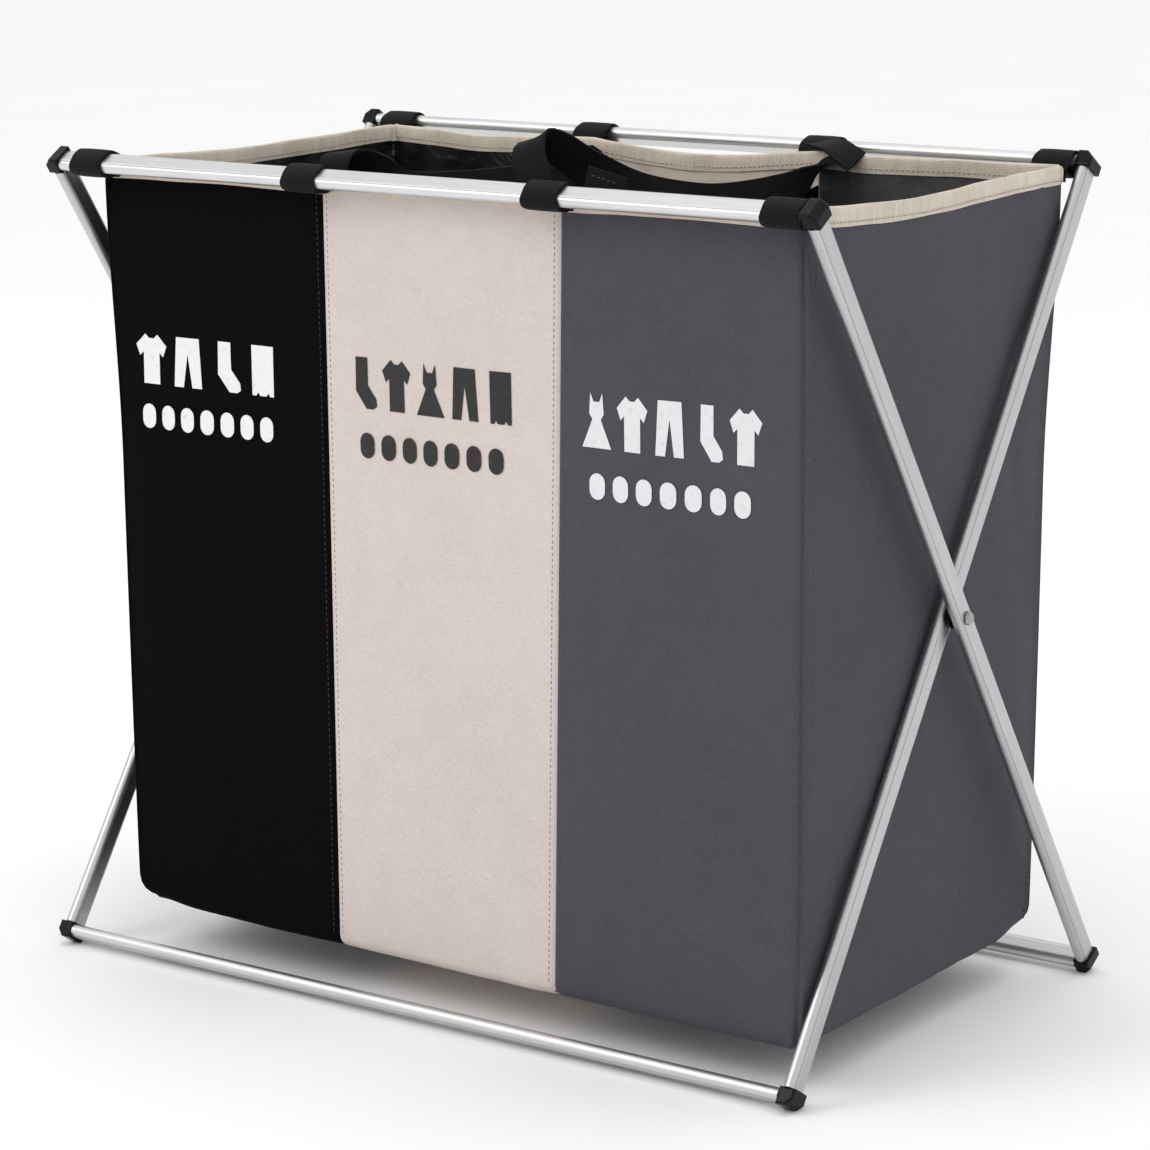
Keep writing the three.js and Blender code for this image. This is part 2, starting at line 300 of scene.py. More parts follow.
@dataclass(frozen=True)
class SatinAluminium:
    """Anodised tube with fine drawing lines and two shallow extrusion grooves, whose colour is darkened
    with painted shade.
    """

    name: str
    along: Colour
    across: Colour
    centre: Colour
    # Brightness of the metal. The legs are given a lower value than the rails' 0.64: painted shade on the
    # legs.
    shade: float = 0.64
    groove_at: float = 5.4 * MM
    groove_half: float = 0.4 * MM

    def material(self) -> bpy.types.Material:
        """Makes the material.

        Returns:
            The material.
        """
        g = Graph(self.name)
        place = g.node("ShaderNodeTexCoord", output="Object")
        off = g.node("ShaderNodeVectorMath", {"operation": "SUBTRACT"}, {0: place, 1: self.centre})
        along = self.reach(g, off, self.along)
        across = self.reach(g, off, self.across)
        third = Vector(self.along).cross(Vector(self.across))
        side = self.reach(g, off, tuple(third))
        lines = g.noise(g.vector(along * 0.012, across, side), 1500.0, 3.0)
        cloud = g.noise(place, 16.0, 3.0)
        groove = 1.0 - abs(abs(across) - self.groove_at).ramp(self.groove_half * 0.4, self.groove_half)
        bright = lines * 0.22 + cloud * 0.1 + (self.shade - 0.16)
        # The grooves are darkened towards (0.2, 0.2, 0.21): painted shade in the recesses.
        colour = g.mix(groove * 0.65, g.vector(bright, bright * 1.003, bright * 1.015), (0.2, 0.2, 0.21))
        return g.surface(
            {"Metallic": 1.0},
            {
                "Base Color": colour,
                "Roughness": lines * 0.14 + cloud * 0.08 + 0.28,
                "Normal": g.bump(lines * 0.05 - groove, 0.12 * MM),
            },
        )

    @staticmethod
    def reach(g: Graph, place: Signal, axis: Colour) -> Signal:
        """How far a place lies along an axis.

        Args:
            g: The shader.
            place: The place.
            axis: The axis, of length 1.

        Returns:
            The distance.
        """
        return g.node("ShaderNodeVectorMath", {"operation": "DOT_PRODUCT"}, {0: place, 1: axis}, "Value")


@dataclass(frozen=True)
class MouldedPlastic:
    """Glossy black moulded plastic with a faint orange peel and rubbed patches."""

    name: str = "moulded_plastic"
    colour: Colour = (0.004, 0.004, 0.005)
    rubbed: Colour = (0.014, 0.014, 0.016)

    def material(self) -> bpy.types.Material:
        """Makes the material.

        Returns:
            The material.
        """
        g = Graph(self.name)
        place = g.node("ShaderNodeTexCoord", output="Object")
        peel = g.noise(place, 1400.0, 2.0)
        rub = g.noise(place, 190.0, 4.0, 0.6).ramp(0.56, 0.78)
        return g.surface(
            {"Specular IOR Level": 0.14},
            {
                "Base Color": g.mix(rub, self.colour, self.rubbed),
                "Roughness": rub * 0.24 + peel * 0.06 + 0.2,
                "Normal": g.bump(peel, 0.05 * MM, 0.6),
            },
        )


@dataclass(frozen=True)
class ZincSteel:
    """Plated steel of screws and nuts, with turning marks and dull spots."""

    name: str = "zinc_steel"
    colour: Colour = (0.36, 0.36, 0.38)
    dull: Colour = (0.17, 0.165, 0.16)

    def material(self) -> bpy.types.Material:
        """Makes the material.

        Returns:
            The material.
        """
        g = Graph(self.name)
        place = g.node("ShaderNodeTexCoord", output="Object")
        spots = g.noise(place, 620.0, 4.0).ramp(0.5, 0.75)
        marks = g.noise(place, 2600.0, 1.0)
        return g.surface(
            {"Metallic": 1.0},
            {
                "Base Color": g.mix(spots, self.colour, self.dull),
                "Roughness": spots * 0.25 + marks * 0.1 + 0.25,
                "Normal": g.bump(marks, 0.04 * MM),
            },
        )


@dataclass(frozen=True)
class WovenCloth:
    """Plain-woven polyester, with uneven yarns, soft mottling and a little sheen."""

    name: str
    colour: Colour
    deep: Colour
    yarn: float = 0.9 * MM
    relief: float = 0.13 * MM
    mottle: float = 0.3
    sheen: float = 0.12
    gloss: float = 0.3

    def material(self) -> bpy.types.Material:
        """Makes the material.

        Returns:
            The material.
        """
        g = Graph(self.name)
        u, v, _ = g.coordinates("UV")
        place = g.vector(u, v)
        weft = g.noise(g.vector(u * 0.25, v), 700.0, 1.0)
        warp = g.noise(g.vector(u, v * 0.25), 700.0, 1.0)
        slub = weft * 0.5 + warp * 0.5
        over = u.wave(2 * self.yarn) * v.wave(2 * self.yarn)
        threads = over * 0.5 + slub * 0.9
        cloud = g.noise(place, 9.0, 4.0, 0.4)
        patch = g.noise(place, 55.0, 3.0)
        # The over term lightens the yarn crossings and darkens the gaps between them: painted shade of the
        # weave. Cloud, patch and slub are the cloth's own uneven tone.
        tone = cloud * (0.6 * self.mottle) + patch * (0.4 * self.mottle) + slub * 0.5 + over * 0.08
        return g.surface(
            {
                "Sheen Weight": self.sheen,
                "Sheen Roughness": 0.45,
                "Specular IOR Level": self.gloss,
            },
            {
                "Base Color": g.mix(tone.ramp(0.0, 0.8), self.deep, self.colour),
                "Roughness": 0.92 - slub * 0.18,
                "Normal": g.bump(threads + patch * 0.6, self.relief),
            },
        )


@dataclass(frozen=True)
class CoatedLining:
    """The coated inner face of the cloth, shiny and crinkled."""

    name: str
    colour: Colour
    worn: Colour
    gloss: float = 0.34
    shine: float = 0.5
    crinkle: float = 2.2 * MM

    def material(self) -> bpy.types.Material:
        """Makes the material.

        Returns:
            The material.
        """
        g = Graph(self.name)
        u, v, _ = g.coordinates("UV")
        place = g.vector(u, v)
        fold = abs(g.noise(place, 17.0, 3.0, 1.1) - 0.5)
        fine = abs(g.noise(place, 60.0, 3.0, 0.8) - 0.5)
        cloud = g.noise(place, 30.0, 3.0)
        return g.surface(
            {"Specular IOR Level": self.shine},
            {
                "Base Color": g.mix(cloud.ramp(0.35, 0.75), self.colour, self.worn),
                "Roughness": cloud * 0.2 + (self.gloss - 0.1),
                "Normal": g.bump(fold * 2.0 + fine * 0.6, self.crinkle, 0.7),
            },
        )


@dataclass(frozen=True)
class HerringboneWebbing:
    """Black webbing, woven in a herringbone with a tight edge on either side."""

    name: str = "herringbone_webbing"
    colour: Colour = (0.009, 0.0082, 0.0095)
    deep: Colour = (0.003, 0.003, 0.0034)
    rib: float = 1.9 * MM
    column: float = 5.6 * MM

    def material(self) -> bpy.types.Material:
        """Makes the material.

        Returns:
            The material.
        """
        g = Graph(self.name)
        u, v, _ = g.coordinates("UV")
        chevron = (v + u.zigzag(2 * self.column) * (self.rib * 1.4)).wave(self.rib)
        fuzz = g.noise(g.vector(u, v), 1300.0, 2.0)
        # The chevron term darkens the hollows between the herringbone ribs: painted shade. Fuzz is the
        # webbing's own uneven tone.
        return g.surface(
            {"Sheen Weight": 0.03, "Sheen Roughness": 0.5, "Specular IOR Level": 0.08},
            {
                "Base Color": g.mix((chevron * 0.35 + fuzz).ramp(0.1, 0.9), self.deep, self.colour),
                "Roughness": 0.78 - fuzz * 0.2,
                "Normal": g.bump(chevron * 0.5 + fuzz * 0.4, 0.28 * MM),
            },
        )


@dataclass(frozen=True)
class CottonTape:
    """Cream binding tape with fine cross ribs, soft fuzz and a few greyed stretches."""

    name: str = "cotton_tape"
    colour: Colour = (0.72, 0.64, 0.54)
    deep: Colour = (0.44, 0.37, 0.29)
    rib: float = 1.3 * MM

    def material(self) -> bpy.types.Material:
        """Makes the material.

        Returns:
            The material.
        """
        g = Graph(self.name)
        u, v, _ = g.coordinates("UV")
        place = g.vector(u, v)
        ribs = u.wave(self.rib) * 0.5 + v.wave(self.rib * 0.8) * 0.3
        fuzz = g.noise(place, 900.0, 3.0)
        pucker = g.noise(g.vector(u, v * 0.2), 170.0, 2.0)
        grey = g.noise(place, 22.0, 3.0)
        # The ribs and pucker terms darken the tape in the hollows of its ribs and puckers: painted shade.
        # Fuzz and grey are the tape's own uneven tone.
        tone = ribs * 0.2 + fuzz * 0.5 + pucker * 0.4 + grey * 0.3
        return g.surface(
            {"Sheen Weight": 0.25, "Sheen Roughness": 0.6, "Specular IOR Level": 0.2},
            {
                "Base Color": g.mix(tone.ramp(0.2, 0.95), self.deep, self.colour),
                "Roughness": 0.95 - fuzz * 0.1,
                "Normal": g.bump(ribs * 0.4 + fuzz * 0.5 + pucker * 1.6, 0.4 * MM),
            },
        )


@dataclass(frozen=True)
class PrintedInk:
    """Screen-printed ink that the weave shows through."""

    name: str
    colour: Colour
    thin: Colour

    def material(self) -> bpy.types.Material:
        """Makes the material.

        Returns:
            The material.
        """
        g = Graph(self.name)
        u, v, _ = g.coordinates("UV")
        place = g.vector(u, v)
        grain = g.noise(place, 1100.0, 2.0)
        worn = g.noise(place, 210.0, 4.0).ramp(0.55, 0.8)
        return g.surface(
            {"Specular IOR Level": 0.4},
            {
                "Base Color": g.mix(worn * 0.6 + grain * 0.25, self.colour, self.thin),
                "Roughness": grain * 0.2 + 0.5,
                "Normal": g.bump(grain + worn * 0.5, 0.08 * MM),
            },
        )


@dataclass(frozen=True)
class SewingThread:
    """Twisted polyester thread."""

    name: str
    colour: Colour

    def material(self) -> bpy.types.Material:
        """Makes the material.

        Returns:
            The material.
        """
        g = Graph(self.name)
        u, v, _ = g.coordinates("UV")
        twist = (u + v * 0.6).wave(0.5 * MM)
        # The colour darkens to 0.55 of the thread's colour along the grooves of its twist: painted shade.
        dark = tuple(0.55 * part for part in self.colour)
        return g.surface(
            {"Sheen Weight": 0.2},
            {
                "Base Color": g.mix(twist * 0.5 + 0.5, dark, self.colour),
                "Roughness": twist * 0.1 + 0.6,
                "Normal": g.bump(twist, 0.08 * MM),
            },
        )


class Tone(Enum):
    """The three cloth colours of the compartments."""

    BLACK = "black"
    CREAM = "cream"
    GREY = "grey"


@dataclass(frozen=True)
class Palette:
    """Every finish that the pieces share."""

    cloth: dict[Tone, bpy.types.Material]
    lining: dict[Tone, bpy.types.Material]
    ink: dict[Tone, bpy.types.Material]
    thread: dict[Tone, bpy.types.Material]
    webbing: bpy.types.Material
    tape: bpy.types.Material
    tape_thread: bpy.types.Material

    @classmethod
    def make(cls) -> "Palette":
        """Makes the finishes.

        Returns:
            The palette.
        """
        cloth = {
            Tone.BLACK: WovenCloth(
                "cloth_black", (0.0042, 0.0035, 0.0038), (0.0018, 0.0015, 0.0017), sheen=0.0, gloss=0.04
            ),
            Tone.CREAM: WovenCloth(
                "cloth_cream", (0.64, 0.565, 0.535), (0.47, 0.405, 0.37), mottle=0.5, sheen=0.06
            ),
            Tone.GREY: WovenCloth(
                "cloth_grey", (0.078, 0.075, 0.09), (0.046, 0.044, 0.05), mottle=0.5, sheen=0.03, gloss=0.12
            ),
        }
        lining = {
            Tone.BLACK: CoatedLining(
                "lining_black", (0.006, 0.0055, 0.0065), (0.016, 0.015, 0.017), gloss=0.27, shine=0.8
            ),
            Tone.CREAM: CoatedLining(
                "lining_cream", (0.6, 0.52, 0.44), (0.5, 0.42, 0.35), gloss=0.7, crinkle=1.2 * MM
            ),
            Tone.GREY: CoatedLining("lining_grey", (0.035, 0.033, 0.036), (0.05, 0.048, 0.052), gloss=0.62),
        }
        ink = {
            Tone.BLACK: PrintedInk("ink_on_black", (0.78, 0.78, 0.8), (0.45, 0.45, 0.47)),
            Tone.CREAM: PrintedInk("ink_on_cream", (0.008, 0.007, 0.007), (0.05, 0.045, 0.042)),
            Tone.GREY: PrintedInk("ink_on_grey", (0.72, 0.72, 0.74), (0.42, 0.42, 0.45)),
        }
        thread = {
            Tone.BLACK: SewingThread("thread_black", (0.03, 0.03, 0.032)),
            Tone.CREAM: SewingThread("thread_cream", (0.6, 0.53, 0.47)),
            Tone.GREY: SewingThread("thread_grey", (0.12, 0.12, 0.13)),
        }
        return cls(
            cloth={tone: finish.material() for tone, finish in cloth.items()},
            lining={tone: finish.material() for tone, finish in lining.items()},
            ink={tone: finish.material() for tone, finish in ink.items()},
            thread={tone: finish.material() for tone, finish in thread.items()},
            webbing=HerringboneWebbing().material(),
            tape=CottonTape().material(),
            tape_thread=SewingThread("thread_tape", (0.66, 0.58, 0.48)).material(),
        )


# ---- Mesh building -------------------------------------------------------------------------------


class Fabricator:
    """Collects sheets, bands and stitches into one mesh object."""

    def __init__(self, name: str, materials: Sequence[bpy.types.Material]) -> None:
        """Starts an empty piece.

        Args:
            name: Name of the piece.
            materials: Its materials, in order.
        """
        self.name = name
        self.materials = list(materials)
        self.points: list[np.ndarray] = []
        self.faces: list[tuple[int, ...]] = []
        self.uvs: list[tuple[float, float]] = []
        self.slots: list[int] = []
        self.count = 0

    def _add(self, points: np.ndarray) -> int:
        """Adds points.

        Args:
            points: The points.

        Returns:
            The number of the first one.
        """
        start = self.count
        self.points.append(points)
        self.count += len(points)
        return start

    def _face(self, corners: Sequence[int], uvs: Sequence[Sequence[float]], slot: int) -> None:
        """Adds a face.

        Args:
            corners: Numbers of its points.
            uvs: Its corners' places on the cloth.
            slot: Its material place.
        """
        self.faces.append(tuple(corners))
        self.uvs.extend((float(a), float(b)) for a, b in uvs)
        self.slots.append(slot)

    def sheet(
        self,
        grid: np.ndarray,
        thickness: float,
        outer: int = 0,
        inner: int = 0,
        loop: bool = False,
    ) -> None:
        """Adds a sheet of cloth with two faces and closed edges.

        Args:
            grid: Rows of points on the outer face. Along a row, then up the rows, turns right-handed about
                the outward direction.
            thickness: Thickness of the cloth, which lies inside the outer face.
            outer: Material place of the outer face and edges.
            inner: Material place of the inner face.
            loop: Whether each row closes on itself.
        """
        rows, columns, _ = grid.shape
        along = np.roll(grid, -1, 1) - np.roll(grid, 1, 1)
        if not loop:
            along[:, 0] = grid[:, 1] - grid[:, 0]
            along[:, -1] = grid[:, -1] - grid[:, -2]
        up = np.gradient(grid, axis=0)
        normal = np.cross(along, up)
        normal /= np.maximum(np.linalg.norm(normal, axis=2, keepdims=True), 1e-9)
        back = grid - normal * thickness
        closed = np.concatenate([grid, grid[:, :1]], 1)
        steps_u = np.linalg.norm(np.diff(closed, axis=1), axis=2)
        steps_v = np.linalg.norm(np.diff(grid, axis=0), axis=2)
        u = np.concatenate([[0.0], np.cumsum(steps_u.mean(0))])
        v = np.concatenate([[0.0], np.cumsum(steps_v.mean(1))])
        front = self._add(grid.reshape(-1, 3))
        rear = self._add(back.reshape(-1, 3))
        for r in range(rows - 1):
            for c in range(columns if loop else columns - 1):
                n = (c + 1) % columns
                quad = [r * columns + c, r * columns + n, (r + 1) * columns + n, (r + 1) * columns + c]
                uv = [(u[c], v[r]), (u[c + 1], v[r]), (u[c + 1], v[r + 1]), (u[c], v[r + 1])]
                self._face([front + i for i in quad], uv, outer)
                self._face([rear + i for i in reversed(quad)], uv[::-1], inner)
        self._edges(grid.shape, front, rear, thickness, u, v, outer, loop)

    def _edges(
        self,
        shape: tuple[int, int, int],
        front: int,
        rear: int,
        thickness: float,
        u: np.ndarray,
        v: np.ndarray,
        slot: int,
        loop: bool,
    ) -> None:
        """Closes the edges of a sheet.

        Args:
            shape: Shape of its grid.
            front: Number of the first point of its outer face.
            rear: Number of the first point of its inner face.
            thickness: Its thickness.
            u: Place of each column on the cloth.
            v: Place of each row on the cloth.
            slot: Material place of the edges.
            loop: Whether each row closes on itself.
        """
        rows, columns, _ = shape
        top = (rows - 1) * columns
        for c in range(columns if loop else columns - 1):
            n = (c + 1) % columns
            uv = [(u[c], 0), (u[c], thickness), (u[c + 1], thickness), (u[c + 1], 0)]
            self._face([front + c, rear + c, rear + n, front + n], uv, slot)
            self._face([front + top + n, rear + top + n, rear + top + c, front + top + c], uv, slot)
        if loop:
            return
        for r in range(rows - 1):
            low, high = r * columns, (r + 1) * columns
            uv = [(0, v[r]), (0, v[r + 1]), (thickness, v[r + 1]), (thickness, v[r])]
            self._face([front + low, front + high, rear + high, rear + low], uv, slot)
            low, high = low + columns - 1, high + columns - 1
            self._face([front + low, rear + low, rear + high, front + high], uv, slot)

    def stitches(
        self,
        path: Sequence[Vector],
        outward: Sequence[Vector],
        slot: int,
        length: float = 2.8 * MM,
        space: float = 1.2 * MM,
        radius: float = 0.35 * MM,
    ) -> None:
        """Adds a row of stitches along a path.

        Args:
            path: Points that the row follows.
            outward: Outward direction at each point.
            slot: Material place of the thread.
            length: Length of a stitch.
            space: Gap between stitches.
            radius: Radius of the thread.
        """
        spots = np.array([tuple(p) for p in path])
        normals = np.array([tuple(n) for n in outward])
        reach = np.concatenate([[0.0], np.cumsum(np.linalg.norm(np.diff(spots, axis=0), axis=1))])

        def at(distance: float) -> tuple[np.ndarray, np.ndarray]:
            """Finds a spot on the row.

            Args:
                distance: How far along the row it lies.

            Returns:
                Its place and its outward direction.
            """
            place = np.array([np.interp(distance, reach, spots[:, k]) for k in range(3)])
            lift = np.array([np.interp(distance, reach, normals[:, k]) for k in range(3)])
            return place, lift / max(np.linalg.norm(lift), 1e-9)

        distance = space
        while distance + length < reach[-1]:
            (a, n), (b, _) = at(distance), at(distance + length)
            ahead = (b - a) / max(np.linalg.norm(b - a), 1e-9)
            side = np.cross(ahead, n)
            ring = [n * 1.2, side, -n * 0.4, -side]
            middle = [a + (b - a) * 0.22 + r * radius for r in ring]
            middle += [a + (b - a) * 0.78 + r * radius for r in ring]
            start = self._add(np.array([a - n * radius * 0.6, *middle, b - n * radius * 0.6]))
            flat = [(0, 0), (length, 0), (length, radius), (0, radius)]
            for k in range(4):
                m = (k + 1) % 4
                self._face([start, start + 1 + m, start + 1 + k], flat[:3], slot)
                self._face([start + 1 + k, start + 1 + m, start + 5 + m, start + 5 + k], flat, slot)
                self._face([start + 9, start + 5 + k, start + 5 + m], flat[:3], slot)
            distance += length + space

    def build(
        self, body: str, slot: str, nodes: Sequence[str] = (), folds: bool = False
    ) -> bpy.types.Object:
        """Makes the object and ties it to the frame.

        Args:
            body: CAD body that it moves with.
            slot: Not used.
            nodes: CAD nodes that it stands for.
            folds: Whether it gets a copy of its mesh of its own.

        Returns:
            The finished object.
        """
        mesh = bpy.data.meshes.new(self.name)
        mesh.from_pydata(np.concatenate(self.points).tolist(), [], self.faces)
        for material in self.materials:
            mesh.materials.append(material)
        mesh.polygons.foreach_set("material_index", self.slots)
        layer = mesh.uv_layers.new(name="cloth")
        layer.data.foreach_set("uv", np.array(self.uvs, np.float32).ravel())
        mesh.polygons.foreach_set("use_smooth", [True] * len(mesh.polygons))
        mesh.set_sharp_from_angle(angle=math.radians(50))
        mesh.validate()
        made = bpy.data.objects.new(self.name, mesh)
        bpy.context.scene.collection.objects.link(made)
        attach(made, body)
        if nodes:
            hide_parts(*nodes)
        if folds:
            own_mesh(made)
        log.info("%s: %d faces on %s", self.name, len(self.faces), body)
        return made


def smooth(value: float) -> float:
    """A smooth step.

    Args:
        value: Any number.

    Returns:
        0 below 0, 1 above 1, and an S curve between them.
    """
    t = min(max(value, 0.0), 1.0)
    return t * t * (3 - 2 * t)


def blend(low: float, high: float, share: float) -> float:
    """A value between two others.

    Args:
        low: Value at 0.
        high: Value at 1.
        share: How far between them.

    Returns:
        The value.
    """
    return low + (high - low) * share


def curve(points: Sequence[Sequence[float]], count: int) -> list[Vector]:
    """A smooth curve through points.

    Args:
        points: The points.
        count: How many places on the curve to return.

    Returns:
        Places at even steps along it.
    """
    spots = [Vector(p) for p in points]
    spots = [spots[0] * 2 - spots[1], *spots, spots[-1] * 2 - spots[-2]]
    fine: list[Vector] = []
    for i in range(1, len(spots) - 2):
        a, b, c, d = spots[i - 1 : i + 3]
        for k in range(24):
            t = k / 24
            square, cube = 2 * a - 5 * b + 4 * c - d, 3 * b - a - 3 * c + d
            fine.append(0.5 * (2 * b + (c - a) * t + square * t**2 + cube * t**3))
    fine.append(spots[-2])
    rows = np.array([tuple(p) for p in fine])
    reach = np.concatenate([[0.0], np.cumsum(np.linalg.norm(np.diff(rows, axis=0), axis=1))])
    steps = np.linspace(0, reach[-1], count)
    return [Vector([float(np.interp(s, reach, rows[:, k])) for k in range(3)]) for s in steps]


def band_grid(path: Sequence[Vector], widths: Sequence[Vector], crown: float = 0.3 * MM) -> np.ndarray:
    """The outer face of a webbing band.

    Args:
        path: Middle line of the band.
        widths: From the middle line to one edge, at each point.
        crown: How much thicker the middle is than the edges.

    Returns:
        Rows of points for Fabricator.sheet.
    """
    rows = []
    for i, (middle, half) in enumerate(zip(path, widths)):
        ahead = path[min(i + 1, len(path) - 1)] - path[max(i - 1, 0)]
        lift = half.cross(ahead).normalized()
        shares = (-1, -0.92, -0.5, 0, 0.5, 0.92, 1)
        rows.append([middle + half * s + lift * crown * (1 - s**4) for s in shares])
    return np.array([[tuple(p) for p in row] for row in rows])


# ---- The bag's form ------------------------------------------------------------------------------


class Wall(Enum):
    """The walls of the bag."""

    FRONT = "front"
    REAR = "rear"
    LEFT = "left"
    RIGHT = "right"


@dataclass
class BagForm:
    """The outer face of the hanging bag, read from the CAD panels and given the hang of real cloth.

    A place along the front or rear wall runs from 0 at the left corner, over the two seams at 1 and 2, to
    3 at the right corner. A place along a side runs from 0 at the front to 1 at the rear.
    """

    floor: float
    rim: float
    corners: dict[Wall, tuple[tuple[float, ...], ...]]
    seams: dict[Wall, tuple[tuple[float, float], ...]]
    hem: float = 9 * MM
    slack_hem: float = 10 * MM  # added to the hem at its slack corners
    slack_reach: float = 34 * MM
    edge: float = 5 * MM
    belly: float = 2.0 * MM  # how far the upright edges stand out
    tilt: float = 2.5 * MM  # how much lower the right end of the bottom hangs, and how much higher the left
    stretch: float = 0.6  # share of the taper that lies in the upper part
    stretch_from: float = 0.6  # height share where that part starts
    groove: float = 1.6 * MM
    groove_half: float = 1.7 * MM
    slip: float = 12.0 * MM  # how far the ends of the rear rim have slipped to the right along the rail
    slip_seams: float = 8.0 * MM  # the same for the seams between them
    long: float = 0.57  # of the front wall, along the rim
    deep: float = 0.31  # of a side
    wide_hang: float = 2.0 * MM  # how far the middle of a front or rear panel hangs inwards
    side_hang: float = 5.0 * MM  # the same for a side
    swag: float = 2.2 * MM  # how far the rim swings inwards between the loops
    swag_share: float = 0.07  # of the height, which the swag reaches down
    billow: float = 3.2 * MM  # broad waves of the cloth
    fold: float = 1.9 * MM  # narrow ones
    pucker: float = 0.8 * MM  # along the hem

    @classmethod
    def from_frame(cls) -> "BagForm":
        """Reads the form from the CAD nodes.

        Returns:
            The form.
        """
        cloth = 2 * MM
        bottom = {hand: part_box(f"bottom_panel_{hand}") for hand in HANDS}
        sides = {hand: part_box(f"side_panel_{hand}") for hand in HANDS}
        feet = {
            Wall.FRONT: (sides["left"][1].x - cloth, bottom["right"][1].x + cloth),
            Wall.REAR: (bottom["left"][0].x - cloth, sides["right"][0].x + cloth),
        }
        corners, seams = {}, {}
        for side, sign in ((Wall.FRONT, -1), (Wall.REAR, 1)):
            panels = (f"{side.value}_panel_{part}" for part in ("left", "middle", "right"))
            left, middle, right = (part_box(panel) for panel in panels)
            rim_y = sign * max(abs(left[0].y), abs(left[1].y))
            foot_y = sign * (min(abs(left[0].y), abs(left[1].y)) + cloth)
            slip, slip_seams = (cls.slip, cls.slip_seams) if side is Wall.REAR else (0.0, 0.0)
            corners[side] = (
                (left[0].x + slip, feet[side][0], rim_y, foot_y),
                (right[1].x + slip, feet[side][1], rim_y, foot_y),
            )
            seams[side] = (
                (middle[0].x + slip_seams, left[1].x),
                (middle[1].x + slip_seams, right[0].x),
            )
        return cls(bottom["left"][0].z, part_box("front_binding")[1].z, corners, seams)

    def share(self, z: float) -> float:
        """How far up the bag a height is.

        Args:
            z: The height.

        Returns:
            0 at the underside and 1 at the rim.
        """
        return (z - self.floor) / (self.rim - self.floor)

    def taper(self, z: float) -> float:
        """How far the bag has widened from its underside towards its rim.

        Args:
            z: The height.

        Returns:
            0 at the underside and 1 at the rim.
        """
        t = self.share(z)
        return blend(t, smooth((t - self.stretch_from) / (1 - self.stretch_from)), self.stretch)

    def corner(self, side: Wall, end: int, z: float, inset: float = 0.0) -> Vector:
        """One upright edge of the bag.

        Args:
            side: FRONT or REAR.
            end: 0 on the left, 1 on the right.
            z: The height.
            inset: How far inside both walls.

        Returns:
            The point.
        """
        rim_x, foot_x, rim_y, foot_y = self.corners[side][end]
        t = self.taper(z)
        x, y = blend(foot_x, rim_x, t), blend(foot_y, rim_y, t)
        inset_x = inset - self.belly * math.sin(math.pi * min(max(self.share(z), 0.0), 1.0)) ** 0.35
        return Vector((x - inset_x * math.copysign(1, x), y - math.copysign(inset, y), z))

    def hem_at(self, spot: Vector) -> float:
        """Radius of the hem, which is larger at three slack corners.

        Args:
            spot: A point of the wall above it.

        Returns:
            The radius.
        """
        slack = ((Wall.FRONT, 0), (Wall.REAR, 0), (Wall.REAR, 1))
        away = min((self.corner(side, end, self.floor).xy - spot.xy).length for side, end in slack)
        return self.hem + self.slack_hem * math.exp(-((away / self.slack_reach) ** 2))

    def settled(self, spot: Vector) -> Vector:
        """Lets a point hang lower or higher with the tilt of the bottom.

        Args:
            spot: The point.

        Returns:
            The settled point.
        """
        return spot - Vector((0, 0, self.tilt * spot.x / (self.long / 2) * (1 - self.share(spot.z))))

    def seam(self, side: Wall, index: int, z: float) -> float:
        """X of a seam between two colours.

        Args:
            side: FRONT or REAR.
            index: 0 for the left seam, 1 for the right.
            z: The height.

        Returns:
            Its X.
        """
        rim_x, foot_x = self.seams[side][index]
        return blend(foot_x, rim_x, self.share(z))

    def rim_height(self, side: Wall, place: float) -> float:
        """Height of the rim, which sags between the loops.

        Args:
            side: The wall.
            place: The place along it.

        Returns:
            The height.
        """
        hang = math.sin(math.pi * (place % 1) ** 0.8)
        depth = {Wall.FRONT: (-1.6, -1.6, -1.6), Wall.REAR: (3.0, 8.0, 2.0)}.get(side, (3.0,))
        sag = depth[min(int(place), len(depth) - 1)] * MM * hang**1.4
        loose = 0.4 if side is Wall.FRONT else 2.6
        wander = noise.noise(Vector((place * 2.3, len(side.value) * 1.7, 0.5))) * loose * MM * hang
        return self.rim - sag + wander

    def push(self, side: Wall, place: float, z: float) -> float:
        """How far the cloth stands out from its flat panel.

        Args:
            side: The wall.
            place: The place along it.
            z: The height.

        Returns:
            The distance, outwards when positive.
        """
        t = self.share(z)
        wide = side in (Wall.FRONT, Wall.REAR)
        between = abs(math.sin(math.pi * place)) ** 1.2
        run = place / 3 * self.long if wide else place * self.deep
        seed = 3.7 * list(Wall).index(side) + 1.3
        depth = self.wide_hang if wide else self.side_hang
        hang = depth * between * math.sin(math.pi * min(max(t, 0.0), 1.0))
        swag = self.swag * between * math.exp(-(((1 - t) / self.swag_share) ** 2))
        broad = noise.noise(Vector((run * 7, z * 5, seed))) * self.billow
        folds = noise.noise(Vector((run * 24 + z * 5, z * 3.2, seed + 3))) * self.fold
        folds *= 0.4 + 0.6 * smooth(t)
        hem = noise.noise(Vector((run * 60, z * 20, seed + 8))) * self.pucker
        hem *= math.exp(-((t / self.swag_share) ** 2))
        return (broad + folds) * smooth(between * 3) - hang - swag + hem * smooth(between * 4)

